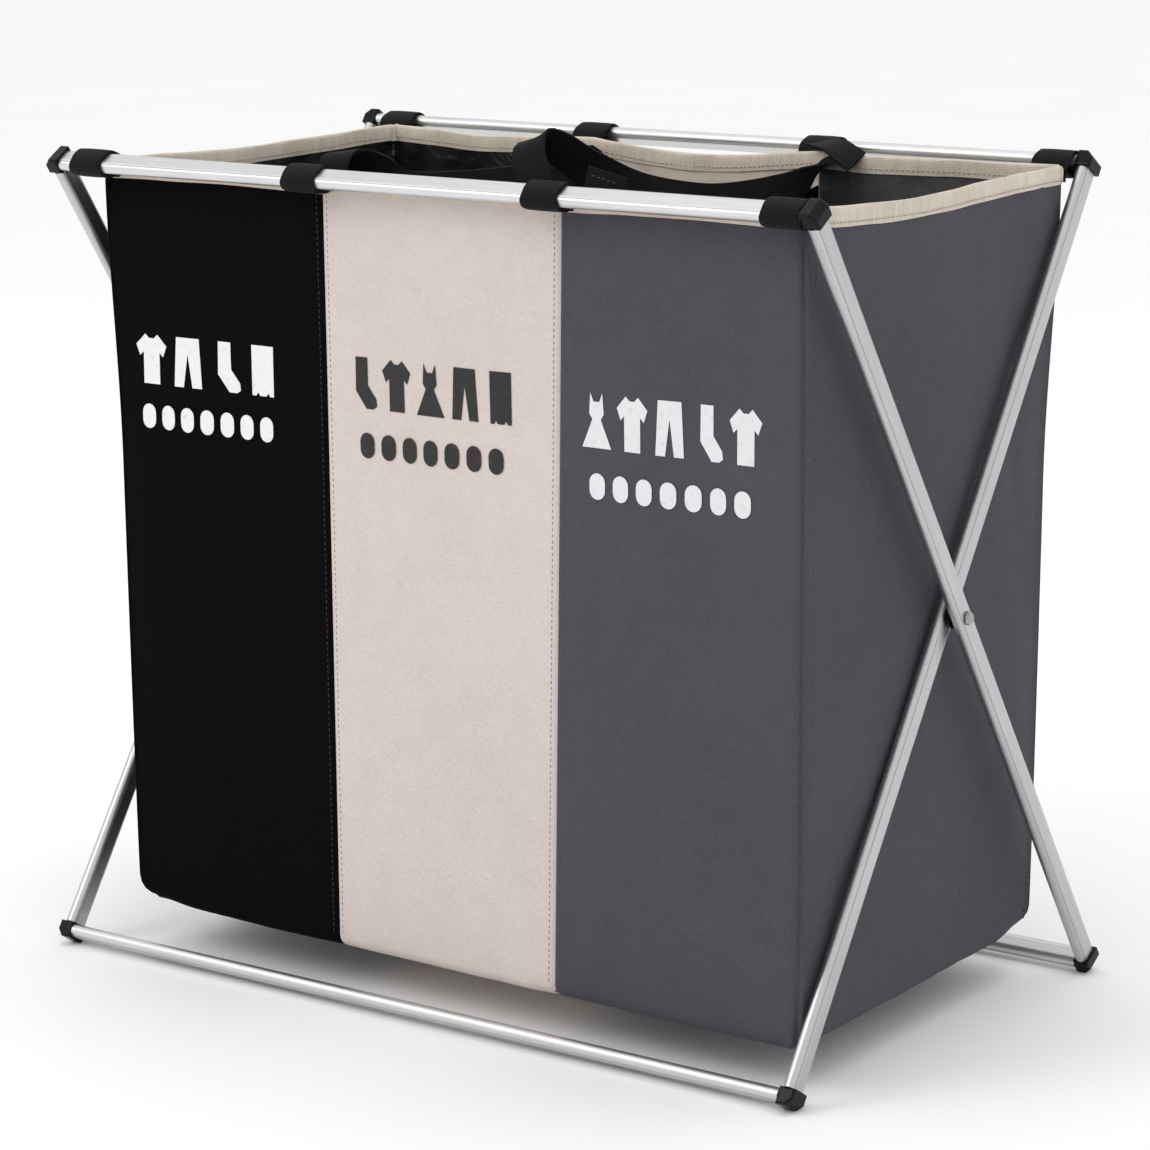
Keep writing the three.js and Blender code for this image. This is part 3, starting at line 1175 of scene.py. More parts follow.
    def wall(self, side: Wall, place: float, z: float, inset: float = 0.0) -> Vector:
        """A point of the outer face, away from the upright edges.

        Args:
            side: The wall.
            place: The place along it.
            z: The height.
            inset: How far inside the face.

        Returns:
            The point.
        """
        if side in (Wall.FRONT, Wall.REAR):
            left, right = (self.corner(side, end, z, inset) for end in (0, 1))
            stops = [left.x, self.seam(side, 0, z), self.seam(side, 1, z), right.x]
            i = min(int(place), 2)
            y = blend(left.y, right.y, place / 3)
            outward = math.copysign(self.push(side, place, z), y)
            return self.settled(Vector((blend(stops[i], stops[i + 1], place - i), y + outward, z)))
        end = 0 if side is Wall.LEFT else 1
        near, far = (self.corner(wall, end, z, inset) for wall in (Wall.FRONT, Wall.REAR))
        spot = near.lerp(far, place)
        return self.settled(spot + Vector((math.copysign(self.push(side, place, z), spot.x), 0, 0)))

    def edge_point(self, side: Wall, end: int, turn: float, z: float, inset: float = 0.0) -> Vector:
        """A point of the rounding of an upright edge, with the groove of its seam.

        Args:
            side: FRONT or REAR.
            end: 0 on the left, 1 on the right.
            turn: 0 on the front or rear wall, 1 on the side.
            z: The height.
            inset: How far inside the face.

        Returns:
            The point.
        """
        tip = self.corner(side, end, z, inset)
        facing = Vector((0, math.copysign(1, tip.y), 0))
        sideways = Vector((math.copysign(1, tip.x), 0, 0))
        radius = max(self.edge - 0.45 * inset, 1 * MM)
        outward = facing * math.cos(turn * math.pi / 2) + sideways * math.sin(turn * math.pi / 2)
        away = abs(turn - 0.5) * radius * math.pi / 2
        dip = self.groove * math.exp(-((away / self.groove_half) ** 2))
        dip -= 0.5 * self.groove * math.exp(-(((away - 3.6 * MM) / self.groove_half) ** 2))
        return self.settled(tip - (facing + sideways) * radius + outward * (radius - dip))


class Station:
    """One upright line of the bag's outer face."""

    def __init__(self, side: Wall, place: float, turn: float | None = None, groove: float = 0.0) -> None:
        """Names the line.

        Args:
            side: The wall, or FRONT or REAR at an upright edge.
            place: The place along the wall, or the end of an upright edge.
            turn: How far round an upright edge, or None on a wall.
            groove: How far the line lies inside the face, beside a seam.
        """
        self.side = side
        self.place = place
        self.turn = turn
        self.groove = groove

    def at(self, form: BagForm, z: float, inset: float = 0.0) -> Vector:
        """A point of the line.

        Args:
            form: The bag's form.
            z: The height.
            inset: How far inside the face.

        Returns:
            The point.
        """
        if self.turn is None:
            spot = form.wall(self.side, self.place, z, inset)
            if self.groove:
                spot.y -= math.copysign(self.groove, spot.y)
            return spot
        return form.edge_point(self.side, int(self.place), self.turn, z, inset)

    def rim(self, form: BagForm) -> float:
        """Height of the rim on this line.

        Args:
            form: The bag's form.

        Returns:
            The height.
        """
        return form.rim if self.turn is not None else form.rim_height(self.side, self.place)


class Walk:
    """Stations round the bag, anticlockwise seen from above."""

    SEAM_STEPS = ((0.0, 1.0), (0.006, 0.55), (0.013, 0.12), (0.024, 0.0))

    def __init__(self, form: BagForm, step: float = 7 * MM) -> None:
        """Sets the spacing.

        Args:
            form: The bag's form.
            step: Distance between stations.
        """
        self.form = form
        self.step = step

    def panel(self, side: Wall, start: float, stop: float) -> list[Station]:
        """Stations along part of the front or rear wall.

        Args:
            side: FRONT or REAR.
            start: Place where they start.
            stop: Place where they stop.

        Returns:
            The stations. Those at a seam dip into its groove.
        """
        margin = self.form.edge / (self.form.long / 3)
        low, high = min(start, stop), max(start, stop)
        inner_low = low + (self.SEAM_STEPS[-1][0] if low > 0 else margin)
        inner_high = high - (self.SEAM_STEPS[-1][0] if high < 3 else margin)
        count = max(int((high - low) * self.form.long / 3 / self.step), 2)
        made = [Station(side, float(p)) for p in np.linspace(inner_low, inner_high, count)]
        if low > 0:
            starts = self.SEAM_STEPS[:-1]
            made = [Station(side, low + d, groove=g * self.form.groove) for d, g in starts] + made
        if high < 3:
            ends = reversed(self.SEAM_STEPS[:-1])
            made += [Station(side, high - d - 1e-6, groove=g * self.form.groove) for d, g in ends]
        return made if start < stop else made[::-1]

    def side(self, wall: Wall) -> list[Station]:
        """Stations along a side wall, in walking order.

        Args:
            wall: LEFT or RIGHT.

        Returns:
            The stations.
        """
        margin = self.form.edge / self.form.deep
        places = np.linspace(margin, 1 - margin, int(self.form.deep / self.step))
        ordered = places if wall is Wall.RIGHT else places[::-1]
        return [Station(wall, float(p)) for p in ordered]

    def edge(self, side: Wall, end: int) -> list[Station]:
        """Stations round an upright edge, in walking order.

        Args:
            side: FRONT or REAR.
            end: 0 on the left, 1 on the right.

        Returns:
            The stations.
        """
        turns = np.linspace(0, 1, 21)[1:-1]
        onto_side = (side is Wall.FRONT) == (end == 1)
        return [Station(side, end, float(t)) for t in (turns if onto_side else turns[::-1])]

    def around(self) -> list[Station]:
        """Stations round the whole bag.

        Returns:
            The stations, from the front left corner.
        """
        return [
            *self.panel(Wall.FRONT, 0, 3),
            *self.edge(Wall.FRONT, 1),
            *self.side(Wall.RIGHT),
            *self.edge(Wall.REAR, 1),
            *self.panel(Wall.REAR, 3, 0),
            *self.edge(Wall.REAR, 0),
            *self.side(Wall.LEFT),
            *self.edge(Wall.FRONT, 0),
        ]


# ---- Bag pieces ----------------------------------------------------------------------------------


@dataclass
class BagShell:
    """The sewn shell of the bag: one piece for each colour, walls and bottom together."""

    form: BagForm
    palette: Palette
    cloth: float = 1.2 * MM
    under_tape: float = 3 * MM
    rows: int = 62
    hem_rows: int = 7
    lap: float = 2 * MM  # of the bottom over the hem
    lap_rise: float = 0.9 * MM
    sag: float = 1.5 * MM

    def build(self) -> list[bpy.types.Object]:
        """Makes the three pieces.

        Returns:
            The pieces.
        """
        walk = Walk(self.form)
        black = [
            *walk.panel(Wall.REAR, 1, 0),
            *walk.edge(Wall.REAR, 0),
            *walk.side(Wall.LEFT),
            *walk.edge(Wall.FRONT, 0),
            *walk.panel(Wall.FRONT, 0, 1),
        ]
        grey = [
            *walk.panel(Wall.FRONT, 2, 3),
            *walk.edge(Wall.FRONT, 1),
            *walk.side(Wall.RIGHT),
            *walk.edge(Wall.REAR, 1),
            *walk.panel(Wall.REAR, 3, 2),
        ]
        cream = [walk.panel(Wall.FRONT, 1, 2), walk.panel(Wall.REAR, 2, 1)]
        return [
            self.piece(Tone.BLACK, "left", [black], (0, 1)),
            self.piece(Tone.CREAM, "middle", cream, (1, 2)),
            self.piece(Tone.GREY, "right", [grey], (2, 3)),
        ]

    def piece(
        self, tone: Tone, place: str, walls: list[list[Station]], span: tuple[int, int]
    ) -> bpy.types.Object:
        """Makes the walls and bottom of one compartment.

        Args:
            tone: Its colour.
            place: Its place in the CAD node names.
            walls: Its runs of stations.
            span: Places of its two ends along the front wall.

        Returns:
            The piece.
        """
        finishes = [self.palette.cloth[tone], self.palette.lining[tone], self.palette.thread[tone]]
        maker = Fabricator(f"bag_{tone.value}", finishes)
        for stations in walls:
            maker.sheet(self.wall_grid(stations), self.cloth, 0, 1)
        maker.sheet(self.bottom_grid(span), self.cloth, 0, 1)
        self.stitch(maker, tone, span)
        nodes = [f"front_panel_{place}", f"rear_panel_{place}", f"bottom_panel_{place}"]
        if tone is not Tone.CREAM:
            nodes.append(f"side_panel_{place}")
        return maker.build("bag", f"{tone.value}_fabric", nodes, folds=True)

    def wall_grid(self, stations: list[Station]) -> np.ndarray:
        """The outer face of a run of wall, from under the hem up to the rim.

        Args:
            stations: Its upright lines.

        Returns:
            Rows of points.
        """
        floor = self.form.floor
        hems = [self.form.hem_at(s.at(self.form, floor)) for s in stations]
        rows = []
        for angle in np.linspace(math.pi / 2, 0, self.hem_rows)[:-1]:
            rise, inward = 1 - math.sin(angle), 1 - math.cos(angle)
            turned = [s.at(self.form, floor + h * rise, h * inward) for s, h in zip(stations, hems)]
            rows.append([tuple(spot) for spot in turned])
        for share in np.linspace(0, 1, self.rows):
            tops = [s.rim(self.form) - self.under_tape for s in stations]
            heights = [blend(floor + hem, top, share) for hem, top in zip(hems, tops)]
            rows.append([tuple(s.at(self.form, z)) for s, z in zip(stations, heights)])
        return np.array(rows)

    def bottom_grid(self, span: tuple[int, int]) -> np.ndarray:
        """The outer face of a compartment's bottom.

        Args:
            span: Places of its two ends along the front wall.

        Returns:
            Rows of points, from the rear to the front.
        """
        places = np.linspace(span[0] + 1e-6, span[1] - 1e-6, 26)
        shares = np.linspace(0, 1, 30)
        front, rear = (self.border(side, places) for side in (Wall.FRONT, Wall.REAR))
        ends = []
        for column, wall, outermost in ((0, Wall.LEFT, span[0] == 0), (-1, Wall.RIGHT, span[1] == 3)):
            if outermost:
                ends.append([p.x for p in self.border(wall, 1 - shares)])
            else:
                ends.append([blend(rear[column].x, front[column].x, float(t)) for t in shares])
        rows = []
        for r, t in enumerate(shares):
            row = []
            for c, place in enumerate(places):
                across = (float(place) - span[0]) / (span[1] - span[0])
                lift = self.sag * math.sin(math.pi * across) * math.sin(math.pi * float(t))
                x = blend(ends[0][r], ends[1][r], across)
                y = blend(rear[c].y, front[c].y, float(t))
                z = blend(rear[c].z, front[c].z, float(t)) + self.lap_rise - lift
                row.append((x, y, z))
            rows.append(row)
        return np.array(rows)

    def border(self, side: Wall, places: Sequence[float]) -> list[Vector]:
        """Where the bottom meets the hem of a wall, with a little lap.

        Args:
            side: The wall.
            places: Places along it.

        Returns:
            The points.
        """
        points = []
        for place in places:
            hem = self.form.hem_at(self.form.wall(side, float(place), self.form.floor))
            points.append(self.form.wall(side, float(place), self.form.floor, hem - self.lap))
        return points

    def stitch(self, maker: Fabricator, tone: Tone, span: tuple[int, int]) -> None:
        """Adds the top stitching beside the front and rear seams and beside the upright edges.

        Args:
            maker: The piece.
            tone: Its colour.
            span: Places of its two ends along the front wall.
        """
        beside = 0.022
        heights = np.linspace(self.form.floor + self.form.hem, self.form.rim - 8 * MM, 90)
        for side, sign in ((Wall.FRONT, -1), (Wall.REAR, 1)):
            for place in (span[0] + beside, span[1] - beside):
                if 0.5 < place < 2.5:
                    spots = [self.form.wall(side, place, z) for z in heights]
                    maker.stitches(spots, [Vector((0, sign, 0))] * len(spots), 2)
        if tone is Tone.CREAM:
            return
        wall, sign = (Wall.LEFT, -1) if tone is Tone.BLACK else (Wall.RIGHT, 1)
        for place in (0.036, 0.964):
            spots = [self.form.wall(wall, place, z) for z in heights]
            maker.stitches(spots, [Vector((sign, 0, 0))] * len(spots), 2)


@dataclass
class RimTape:
    """Cotton tape folded over the whole rim and sewn through."""

    form: BagForm
    palette: Palette
    height: float = 12.5 * MM
    stand: float = 1.3 * MM
    inside: float = 2.6 * MM
    tape: float = 0.8 * MM

    def build(self) -> bpy.types.Object:
        """Makes the tape.

        Returns:
            The piece.
        """
        stations = Walk(self.form, 5 * MM).around()
        tops = [s.at(self.form, s.rim(self.form)) for s in stations]
        outward = []
        for i, top in enumerate(tops):
            ahead = tops[(i + 1) % len(tops)] - tops[i - 1]
            outward.append(Vector((ahead.y, -ahead.x, 0)).normalized())
        maker = Fabricator("rim_tape", [self.palette.tape, self.palette.tape_thread])
        profile = [
            (self.stand - 0.3 * MM, -self.height),
            (self.stand, -self.height * 0.8),
            (self.stand + 0.2 * MM, -self.height * 0.4),
            (self.stand, -1.6 * MM),
            (self.stand * 0.5, -0.3 * MM),
            (-self.inside * 0.3, 0.0),
            (-self.inside * 0.8, -0.6 * MM),
            (-self.inside, -2.2 * MM),
            (-self.inside - 0.2 * MM, -self.height * 0.5),
            (-self.inside, -self.height * 0.95),
        ]
        rows = []
        for k, (out, drop) in enumerate(profile):
            row = []
            for i, (top, lead) in enumerate(zip(tops, outward)):
                run = i * 0.09
                ripple = noise.noise(Vector((run * 2.1, k * 0.25, 1.0))) * 0.9 * MM
                lift = noise.noise(Vector((run * 1.3, 4.0, k * 0.1))) * 0.8 * MM
                row.append(tuple(top + lead * (out + ripple) + Vector((0, 0, drop + lift))))
            rows.append(row)
        maker.sheet(np.array(rows), self.tape, loop=True)
        proud = 0.5 * MM
        outer_row = (self.stand + proud, -self.height * 0.78)
        inner_row = (-self.inside - proud, -self.height * 0.7)
        for out, drop in (outer_row, inner_row):
            spots, leads = [], []
            for i, (top, lead) in enumerate(zip(tops, outward)):
                ripple = noise.noise(Vector((i * 0.09 * 2.1, 0.25, 1.0))) * 0.9 * MM
                spots.append(top + lead * (out + ripple) + Vector((0, 0, drop)))
                leads.append(lead * math.copysign(1, out))
            maker.stitches(spots, leads, 1)
        nodes = ["front_binding", "rear_binding", "side_binding_left", "side_binding_right"]
        return maker.build("bag", "binding_tape", nodes, folds=True)


@dataclass
class Dividers:
    """The two cloth walls between the compartments."""

    form: BagForm
    palette: Palette
    drop: tuple[float, ...] = (22 * MM, 31 * MM, 35 * MM, 37 * MM, 35 * MM, 24 * MM)

    def build(self) -> list[bpy.types.Object]:
        """Makes both dividers.

        Returns:
            The pieces.
        """
        return [self.divider(index, hand) for index, hand in enumerate(HANDS)]

    def divider(self, index: int, hand: str) -> bpy.types.Object:
        """Makes one divider.

        Args:
            index: 0 for the left, 1 for the right.
            hand: Its place in the CAD node name.

        Returns:
            The piece.
        """
        finishes = [self.palette.cloth[Tone.BLACK], self.palette.lining[Tone.BLACK]]
        maker = Fabricator(f"divider_cloth_{hand}", finishes)
        shares = np.linspace(0, 1, 44)
        rows = []
        for up in np.linspace(0, 1, 40):
            row = []
            for t in shares:
                sag = float(np.interp(t, np.linspace(0, 1, len(self.drop)), self.drop))
                z = blend(self.form.floor + 3 * MM, self.form.rim - sag, float(up))
                front = self.form.wall(Wall.FRONT, index + 1, z) + Vector((0, 3 * MM, 0))
                rear = self.form.wall(Wall.REAR, index + 1, z) - Vector((0, 3 * MM, 0))
                spot = front.lerp(rear, float(t))
                slack = math.sin(math.pi * float(t))
                wave = noise.noise(Vector((float(t) * 3.1, z * 6, 21.0 + index))) * 5 * MM
                fold = noise.noise(Vector((float(t) * 11, z * 4, 27.0 + index))) * 2 * MM
                row.append(tuple(spot + Vector(((wave + fold) * slack, 0, 0))))
            rows.append(row)
        maker.sheet(np.array(rows), 1.2 * MM, 0, 1)
        return maker.build("bag", "black_fabric", [f"divider_{hand}"], folds=True)


@dataclass
class HangingLoops:
    """Webbing wrapped once round each top rail and sewn to the bag under the rim tape."""

    form: BagForm
    palette: Palette
    webbing: float = 1.6 * MM
    edge_gap: float = 3 * MM
    path: tuple[tuple[float, float], ...] = (
        (17.9, -7.0),
        (17.4, -1.0),
        (14.6, 3.6),
        (9.0, 7.2),
        (3.4, 8.7),
        (-0.6, 7.6),
        (-6.2, 4.0),
        (-9.5, -1.6),
        (-7.4, -6.8),
        (-2.6, -9.0),
        (4.0, -9.7),
        (10.4, -8.0),
        (15.0, -6.2),
        (17.2, -6.8),
        (18.0, -11.0),
    )

    def build(self) -> list[bpy.types.Object]:
        """Makes all the loops.

        Returns:
            The pieces.
        """
        made = []
        for side, body in ((Wall.FRONT, "front_frame"), (Wall.REAR, "rear_frame")):
            low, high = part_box(f"rail_{side.value}_top")
            centre = (low + high) / 2
            for number in range(1, 5):
                made.append(self.loop(side, body, centre, number))
        return made

    def loop(self, side: Wall, body: str, centre: Vector, number: int) -> bpy.types.Object:
        """Makes one loop.

        Args:
            side: FRONT or REAR.
            body: The frame that it moves with.
            centre: Centre of the rail.
            number: Its number in the CAD node name.

        Returns:
            The piece.
        """
        node = f"{side.value}_loop_{number}"
        low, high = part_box(node)
        middle, half = (low.x + high.x) / 2, (high.x - low.x) / 2
        towards = 1 if side is Wall.FRONT else -1
        points = [(middle, centre.y + towards * d * MM, centre.z + h * MM) for d, h in self.path]
        path = curve(points, 60)
        skew = noise.noise(Vector((number * 3.1, towards * 2.0, 0.0))) * 1.6 * MM
        halves = [half - 0.4 * MM * math.sin(k * 0.5) for k in range(len(path))]
        widths = [Vector((-towards * reach, 0, 0)) for reach in halves]
        path = [p + Vector((skew * k / len(path), 0, 0)) for k, p in enumerate(path)]
        maker = Fabricator(f"hanging_loop_{node}", [self.palette.webbing, self.palette.thread[Tone.BLACK]])
        maker.sheet(band_grid(path, widths), self.webbing)
        outward = Vector((0, -towards, 0))
        across = np.linspace(-half + self.edge_gap, half - self.edge_gap, 9)
        seam_y, seam_z = centre.y + towards * 17.3 * MM, centre.z - 9.5 * MM
        row = [Vector((middle + float(x), seam_y, seam_z)) for x in across]
        maker.stitches(row, [outward] * len(row), 1)
        return maker.build(body, "webbing", [node])


@dataclass(frozen=True)
class StrapLine:
    """Where a carrying strap runs: share of the way to the rear, sideways, height over the rim, and lean.

    The lean is 0 where the band lies across the bag and 1 where it stands on edge.
    """

    hand: str
    index: int
    stops: tuple[tuple[float, float, float, float], ...]


@dataclass
class CarryingStraps:
    """Slack webbing over each divider, which stands up in an arch behind the front rail."""

    form: BagForm
    palette: Palette
    half: float = 12.5 * MM
    webbing: float = 1.5 * MM
    lines: tuple[StrapLine, ...] = (
        StrapLine(
            "left",
            0,
            (
                (0.02, 0, -26, 0.0),
                (0.025, 0, -6, 0.0),
                (0.05, 1, 11, 0.05),
                (0.10, 2, 12, 0.15),
                (0.17, 2, 0, 0.55),
                (0.28, 0, -17, 0.95),
                (0.48, 0, -23, 1.0),
                (0.75, 0, -25, 1.0),
                (0.90, 0, -21, 1.0),
                (0.97, 0, -17, 0.8),
                (0.985, 0, -24, 0.3),
            ),
        ),
        StrapLine(
            "right",
            1,
            (
                (0.02, -14, -26, 0.0),
                (0.022, -24, 2, 0.05),
                (0.035, -33, 22, 0.1),
                (0.065, -34, 30, 0.2),
                (0.10, -24, 24, 0.5),
                (0.15, -9, 9, 0.8),
                (0.28, 0, -8, 1.0),
                (0.48, 0, -20, 1.0),
                (0.62, 0, -24, 1.0),
                (0.80, 0, -24, 1.0),
                (0.90, 2, -20, 0.85),
                (0.955, 6, -12, 0.5),
                (0.985, 9, -5, 0.2),
                (1.005, 10, 0, 0.0),
                (1.02, 10, 1.5, 0.0),
            ),
        ),
    )

    def build(self) -> list[bpy.types.Object]:
        """Makes both straps.

        Returns:
            The pieces.
        """
        return [self.strap(line) for line in self.lines]

    def frame_at(self, index: int) -> tuple[Vector, Vector]:
        """The ends of a divider's top line, on the walls' outer faces.

        Args:
            index: 0 for the left divider, 1 for the right.

        Returns:
            The front and rear ends.
        """
        return tuple(self.form.wall(side, index + 1, self.form.rim) for side in (Wall.FRONT, Wall.REAR))

    def strap(self, line: StrapLine) -> bpy.types.Object:
        """Makes one strap.

        Args:
            line: Where it runs.

        Returns:
            The piece.
        """
        front, rear = self.frame_at(line.index)
        points, leans = [], []
        for share, sideways, height, lean in line.stops:
            points.append(front.lerp(rear, share) + Vector((sideways * MM, 0, height * MM)))
            leans.append(lean)
        count = 110
        path = curve(points, count)
        reach = np.concatenate([[0.0], np.cumsum([(b - a).length for a, b in zip(points, points[1:])])])
        steps = np.interp(np.linspace(0, reach[-1], count), reach, leans)
        widths = []
        for i, lean in enumerate(steps):
            ahead = (path[min(i + 1, count - 1)] - path[max(i - 1, 0)]).normalized()
            wish = Vector((math.cos(lean * math.pi / 2), 0, math.sin(lean * math.pi / 2)))
            side = (wish - ahead * wish.dot(ahead)).normalized()
            widths.append(side * self.half)
        finishes = [self.palette.webbing, self.palette.thread[Tone.BLACK]]
        maker = Fabricator(f"carrying_strap_webbing_{line.hand}", finishes)
        maker.sheet(band_grid(path, widths), self.webbing)
        if line.hand == "right":
            self.tails(maker, front, rear)
        return maker.build("bag", "webbing", [f"carrying_strap_{line.hand}"], folds=True)

    def tails(self, maker: Fabricator, front: Vector, rear: Vector) -> None:
        """Adds the strap's two loose ends: one stands behind the front rail, one lies on the rear rim.

        Args:
            maker: The strap's piece.
            front: Front end of the divider's line.
            rear: Rear end of the divider's line.
        """
        standing = [
            front + Vector((26 * MM, 6 * MM, -24 * MM)),
            front + Vector((27 * MM, 7 * MM, -4 * MM)),
            front + Vector((29 * MM, 10 * MM, 13 * MM)),
        ]
        path = curve(standing, 16)
        tilt = Vector((math.cos(0.22), 0, -math.sin(0.22))) * 15 * MM
        maker.sheet(band_grid(path, [tilt] * len(path)), self.webbing)
        for k in (8, 13):
            row = [path[k] + tilt * float(s) + Vector((0, -0.6 * MM, 0)) for s in np.linspace(-0.8, 0.8, 7)]
            maker.stitches(row, [Vector((0, -1, 0))] * len(row), 1)
        lying = [
            rear + Vector((-4 * MM, 2 * MM, 4.5 * MM)),
            rear + Vector((10 * MM, -1 * MM, 3.5 * MM)),
            rear + Vector((22 * MM, -5 * MM, -1 * MM)),
            rear + Vector((33 * MM, -8 * MM, -6 * MM)),
        ]
        path = curve(lying, 24)
        widths = [Vector((3 * MM, blend(11, 7, k / 23) * MM, blend(1, 6, k / 23) * MM)) for k in range(24)]
        maker.sheet(band_grid(path, widths), self.webbing)


# ---- Prints --------------------------------------------------------------------------------------


class Garment(Enum):
    """Plain outlines of washing, drawn in a box one unit wide and high."""

    SHIRT = (
        (0.3, 1),
        (0.42, 0.92),
        (0.58, 0.92),
        (0.7, 1),
        (1, 0.78),
        (0.88, 0.56),
        (0.76, 0.64),
        (0.76, 0),
        (0.24, 0),
        (0.24, 0.64),
        (0.12, 0.56),
        (0, 0.78),
    )
    TROUSERS = (
        (0.14, 1),
        (0.86, 1),
        (0.94, 0),
        (0.64, 0),
        (0.5, 0.68),
        (0.36, 0),
        (0.06, 0),
    )
    SOCK = (
        (0.28, 1),
        (0.68, 1),
        (0.68, 0.46),
        (0.96, 0.2),
        (0.98, 0.06),
        (0.86, 0),
        (0.62, 0),
        (0.26, 0.34),
    )
    DRESS = (
        (0.3, 1),
        (0.4, 0.84),
        (0.6, 0.84),
        (0.7, 1),
        (0.74, 0.62),
        (0.64, 0.52),
        (0.98, 0),
        (0.02, 0),
        (0.36, 0.52),
        (0.26, 0.62),
    )
    TOWEL = (
        (0.16, 1),
        (0.84, 1),
        (0.84, 0),
        (0.72, 0),
        (0.66, 0.07),
        (0.6, 0),
        (0.4, 0),
        (0.34, 0.07),
        (0.28, 0),
        (0.16, 0),
    )


@dataclass(frozen=True)
class PrintSpec:
    """One front print: a row of garments over a row of dashes."""

    tone: Tone
    place: float  # of the row's middle, as a share of the panel's width
    top: float
    garments: tuple[Garment, ...]
    width: float
    height: float
    dash_top: float
    dash_width: float  # of the whole row
    dash_height: float = 17 * MM
    dashes: int = 7


@dataclass
class Prints:
    """Screen prints on the front panels."""

    form: BagForm
    palette: Palette
    above: float = 0.45 * MM
    ink: float = 0.25 * MM
    specs: tuple[PrintSpec, ...] = (
        PrintSpec(
            tone=Tone.BLACK,
            place=0.47,
            top=0.441,
            garments=(Garment.SHIRT, Garment.TROUSERS, Garment.SOCK, Garment.TOWEL),
            width=0.132,
            height=0.034,
            dash_top=0.393,
            dash_width=0.122,
        ),
        PrintSpec(
            tone=Tone.CREAM,
            place=0.48,
            top=0.441,
            garments=(Garment.SOCK, Garment.SHIRT, Garment.DRESS, Garment.TROUSERS, Garment.TOWEL),
            width=0.142,
            height=0.034,
            dash_top=0.391,
            dash_width=0.124,
        ),
        PrintSpec(
            tone=Tone.GREY,
            place=0.48,
            top=0.434,
            garments=(Garment.DRESS, Garment.SHIRT, Garment.TROUSERS, Garment.SOCK, Garment.SHIRT),
            width=0.14,
            height=0.035,
            dash_top=0.383,
            dash_width=0.128,
        ),
    )

    def build(self) -> list[bpy.types.Object]:
        """Makes the three prints.

        Returns:
            The pieces.
        """
        return [self.print(index, spec) for index, spec in enumerate(self.specs)]

    def print(self, index: int, spec: PrintSpec) -> bpy.types.Object:
        """Makes one print.

        Args:
            index: Number of its panel from the left.
            spec: What it shows.

        Returns:
            The piece.
        """
        centre = self.form.wall(Wall.FRONT, index + spec.place, spec.top).x
        shapes = []
        pitch = spec.width / len(spec.garments)
        for k, garment in enumerate(spec.garments):
            left = centre - spec.width / 2 + k * pitch
            scale = pitch * 0.84
            shapes.append([(left + x * scale, spec.top - spec.height * (1 - y)) for x, y in garment.value])
        pitch = spec.dash_width / spec.dashes
        for k in range(spec.dashes):
            left = centre - spec.dash_width / 2 + k * pitch
            shapes.append(self.dash(left, left + pitch * 0.66, spec.dash_top, spec.dash_height))
        mesh = self.flat(f"print_{spec.tone.value}", shapes)
        return self.lay(mesh, index, spec)

    @staticmethod
    def dash(left: float, right: float, top: float, height: float) -> list[tuple[float, float]]:
        """An upright leaf with rounded ends.

        Args:
            left: Its left edge.
            right: Its right edge.
            top: Its top.
            height: Its height.

        Returns:
            Its outline.
        """
        radius = (right - left) / 2
        middle = (left + right) / 2
        arc = [(radius * math.cos(a), radius * math.sin(a)) for a in np.linspace(0, math.pi, 9)]
        upper = [(middle + x, top - radius + z) for x, z in arc]
        lower = [(middle - x, top - height + radius - z) for x, z in arc]
        return upper + lower

    @staticmethod
    def flat(name: str, shapes: list[list[tuple[float, float]]]) -> bmesh.types.BMesh:
        """Fills outlines with small triangles.

        Args:
            name: Name of the print.
            shapes: The outlines.

        Returns:
            The flat mesh, with X and Z in its first two coordinates.
        """
        flat = bmesh.new()
        for outline in shapes:
            flat.faces.new([flat.verts.new((x, z, 0)) for x, z in outline])
        for _ in range(6):
            bmesh.ops.triangulate(flat, faces=flat.faces[:])
            long = [edge for edge in flat.edges if edge.calc_length() > 4 * MM]
            if not long:
                break
            bmesh.ops.subdivide_edges(flat, edges=long, cuts=1)
        bmesh.ops.triangulate(flat, faces=flat.faces[:])
        log.info("%s: %d triangles of ink", name, len(flat.faces))
        return flat

    def lay(self, flat: bmesh.types.BMesh, index: int, spec: PrintSpec) -> bpy.types.Object:
        """Lays a flat print on its panel.

        Args:
            flat: The flat print.
            index: Number of its panel from the left.
            spec: What it shows.

        Returns:
            The piece.
        """
        layer = flat.loops.layers.uv.new("cloth")
        for face in flat.faces:
            for loop in face.loops:
                loop[layer].uv = loop.vert.co.xy
        for vert in flat.verts:
            x, z = vert.co.x, vert.co.y
            left, right = (self.form.wall(Wall.FRONT, index + s, z).x for s in (1e-6, 1 - 1e-6))
            spot = self.form.wall(Wall.FRONT, index + (x - left) / (right - left), z)
            vert.co = (x, spot.y - self.above, z)
        flat.normal_update()
        if sum(face.normal.y for face in flat.faces) > 0:
            bmesh.ops.reverse_faces(flat, faces=flat.faces[:])
        bmesh.ops.solidify(flat, geom=flat.faces[:], thickness=self.ink)
        name = f"print_{spec.tone.value}"
        mesh = bpy.data.meshes.new(name)
        flat.to_mesh(mesh)
        flat.free()
        mesh.materials.append(self.palette.ink[spec.tone])
        made = bpy.data.objects.new(name, mesh)
        bpy.context.scene.collection.objects.link(made)
        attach(made, "bag")
        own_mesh(made)
        return made


# ---- Frame and studio ----------------------------------------------------------------------------


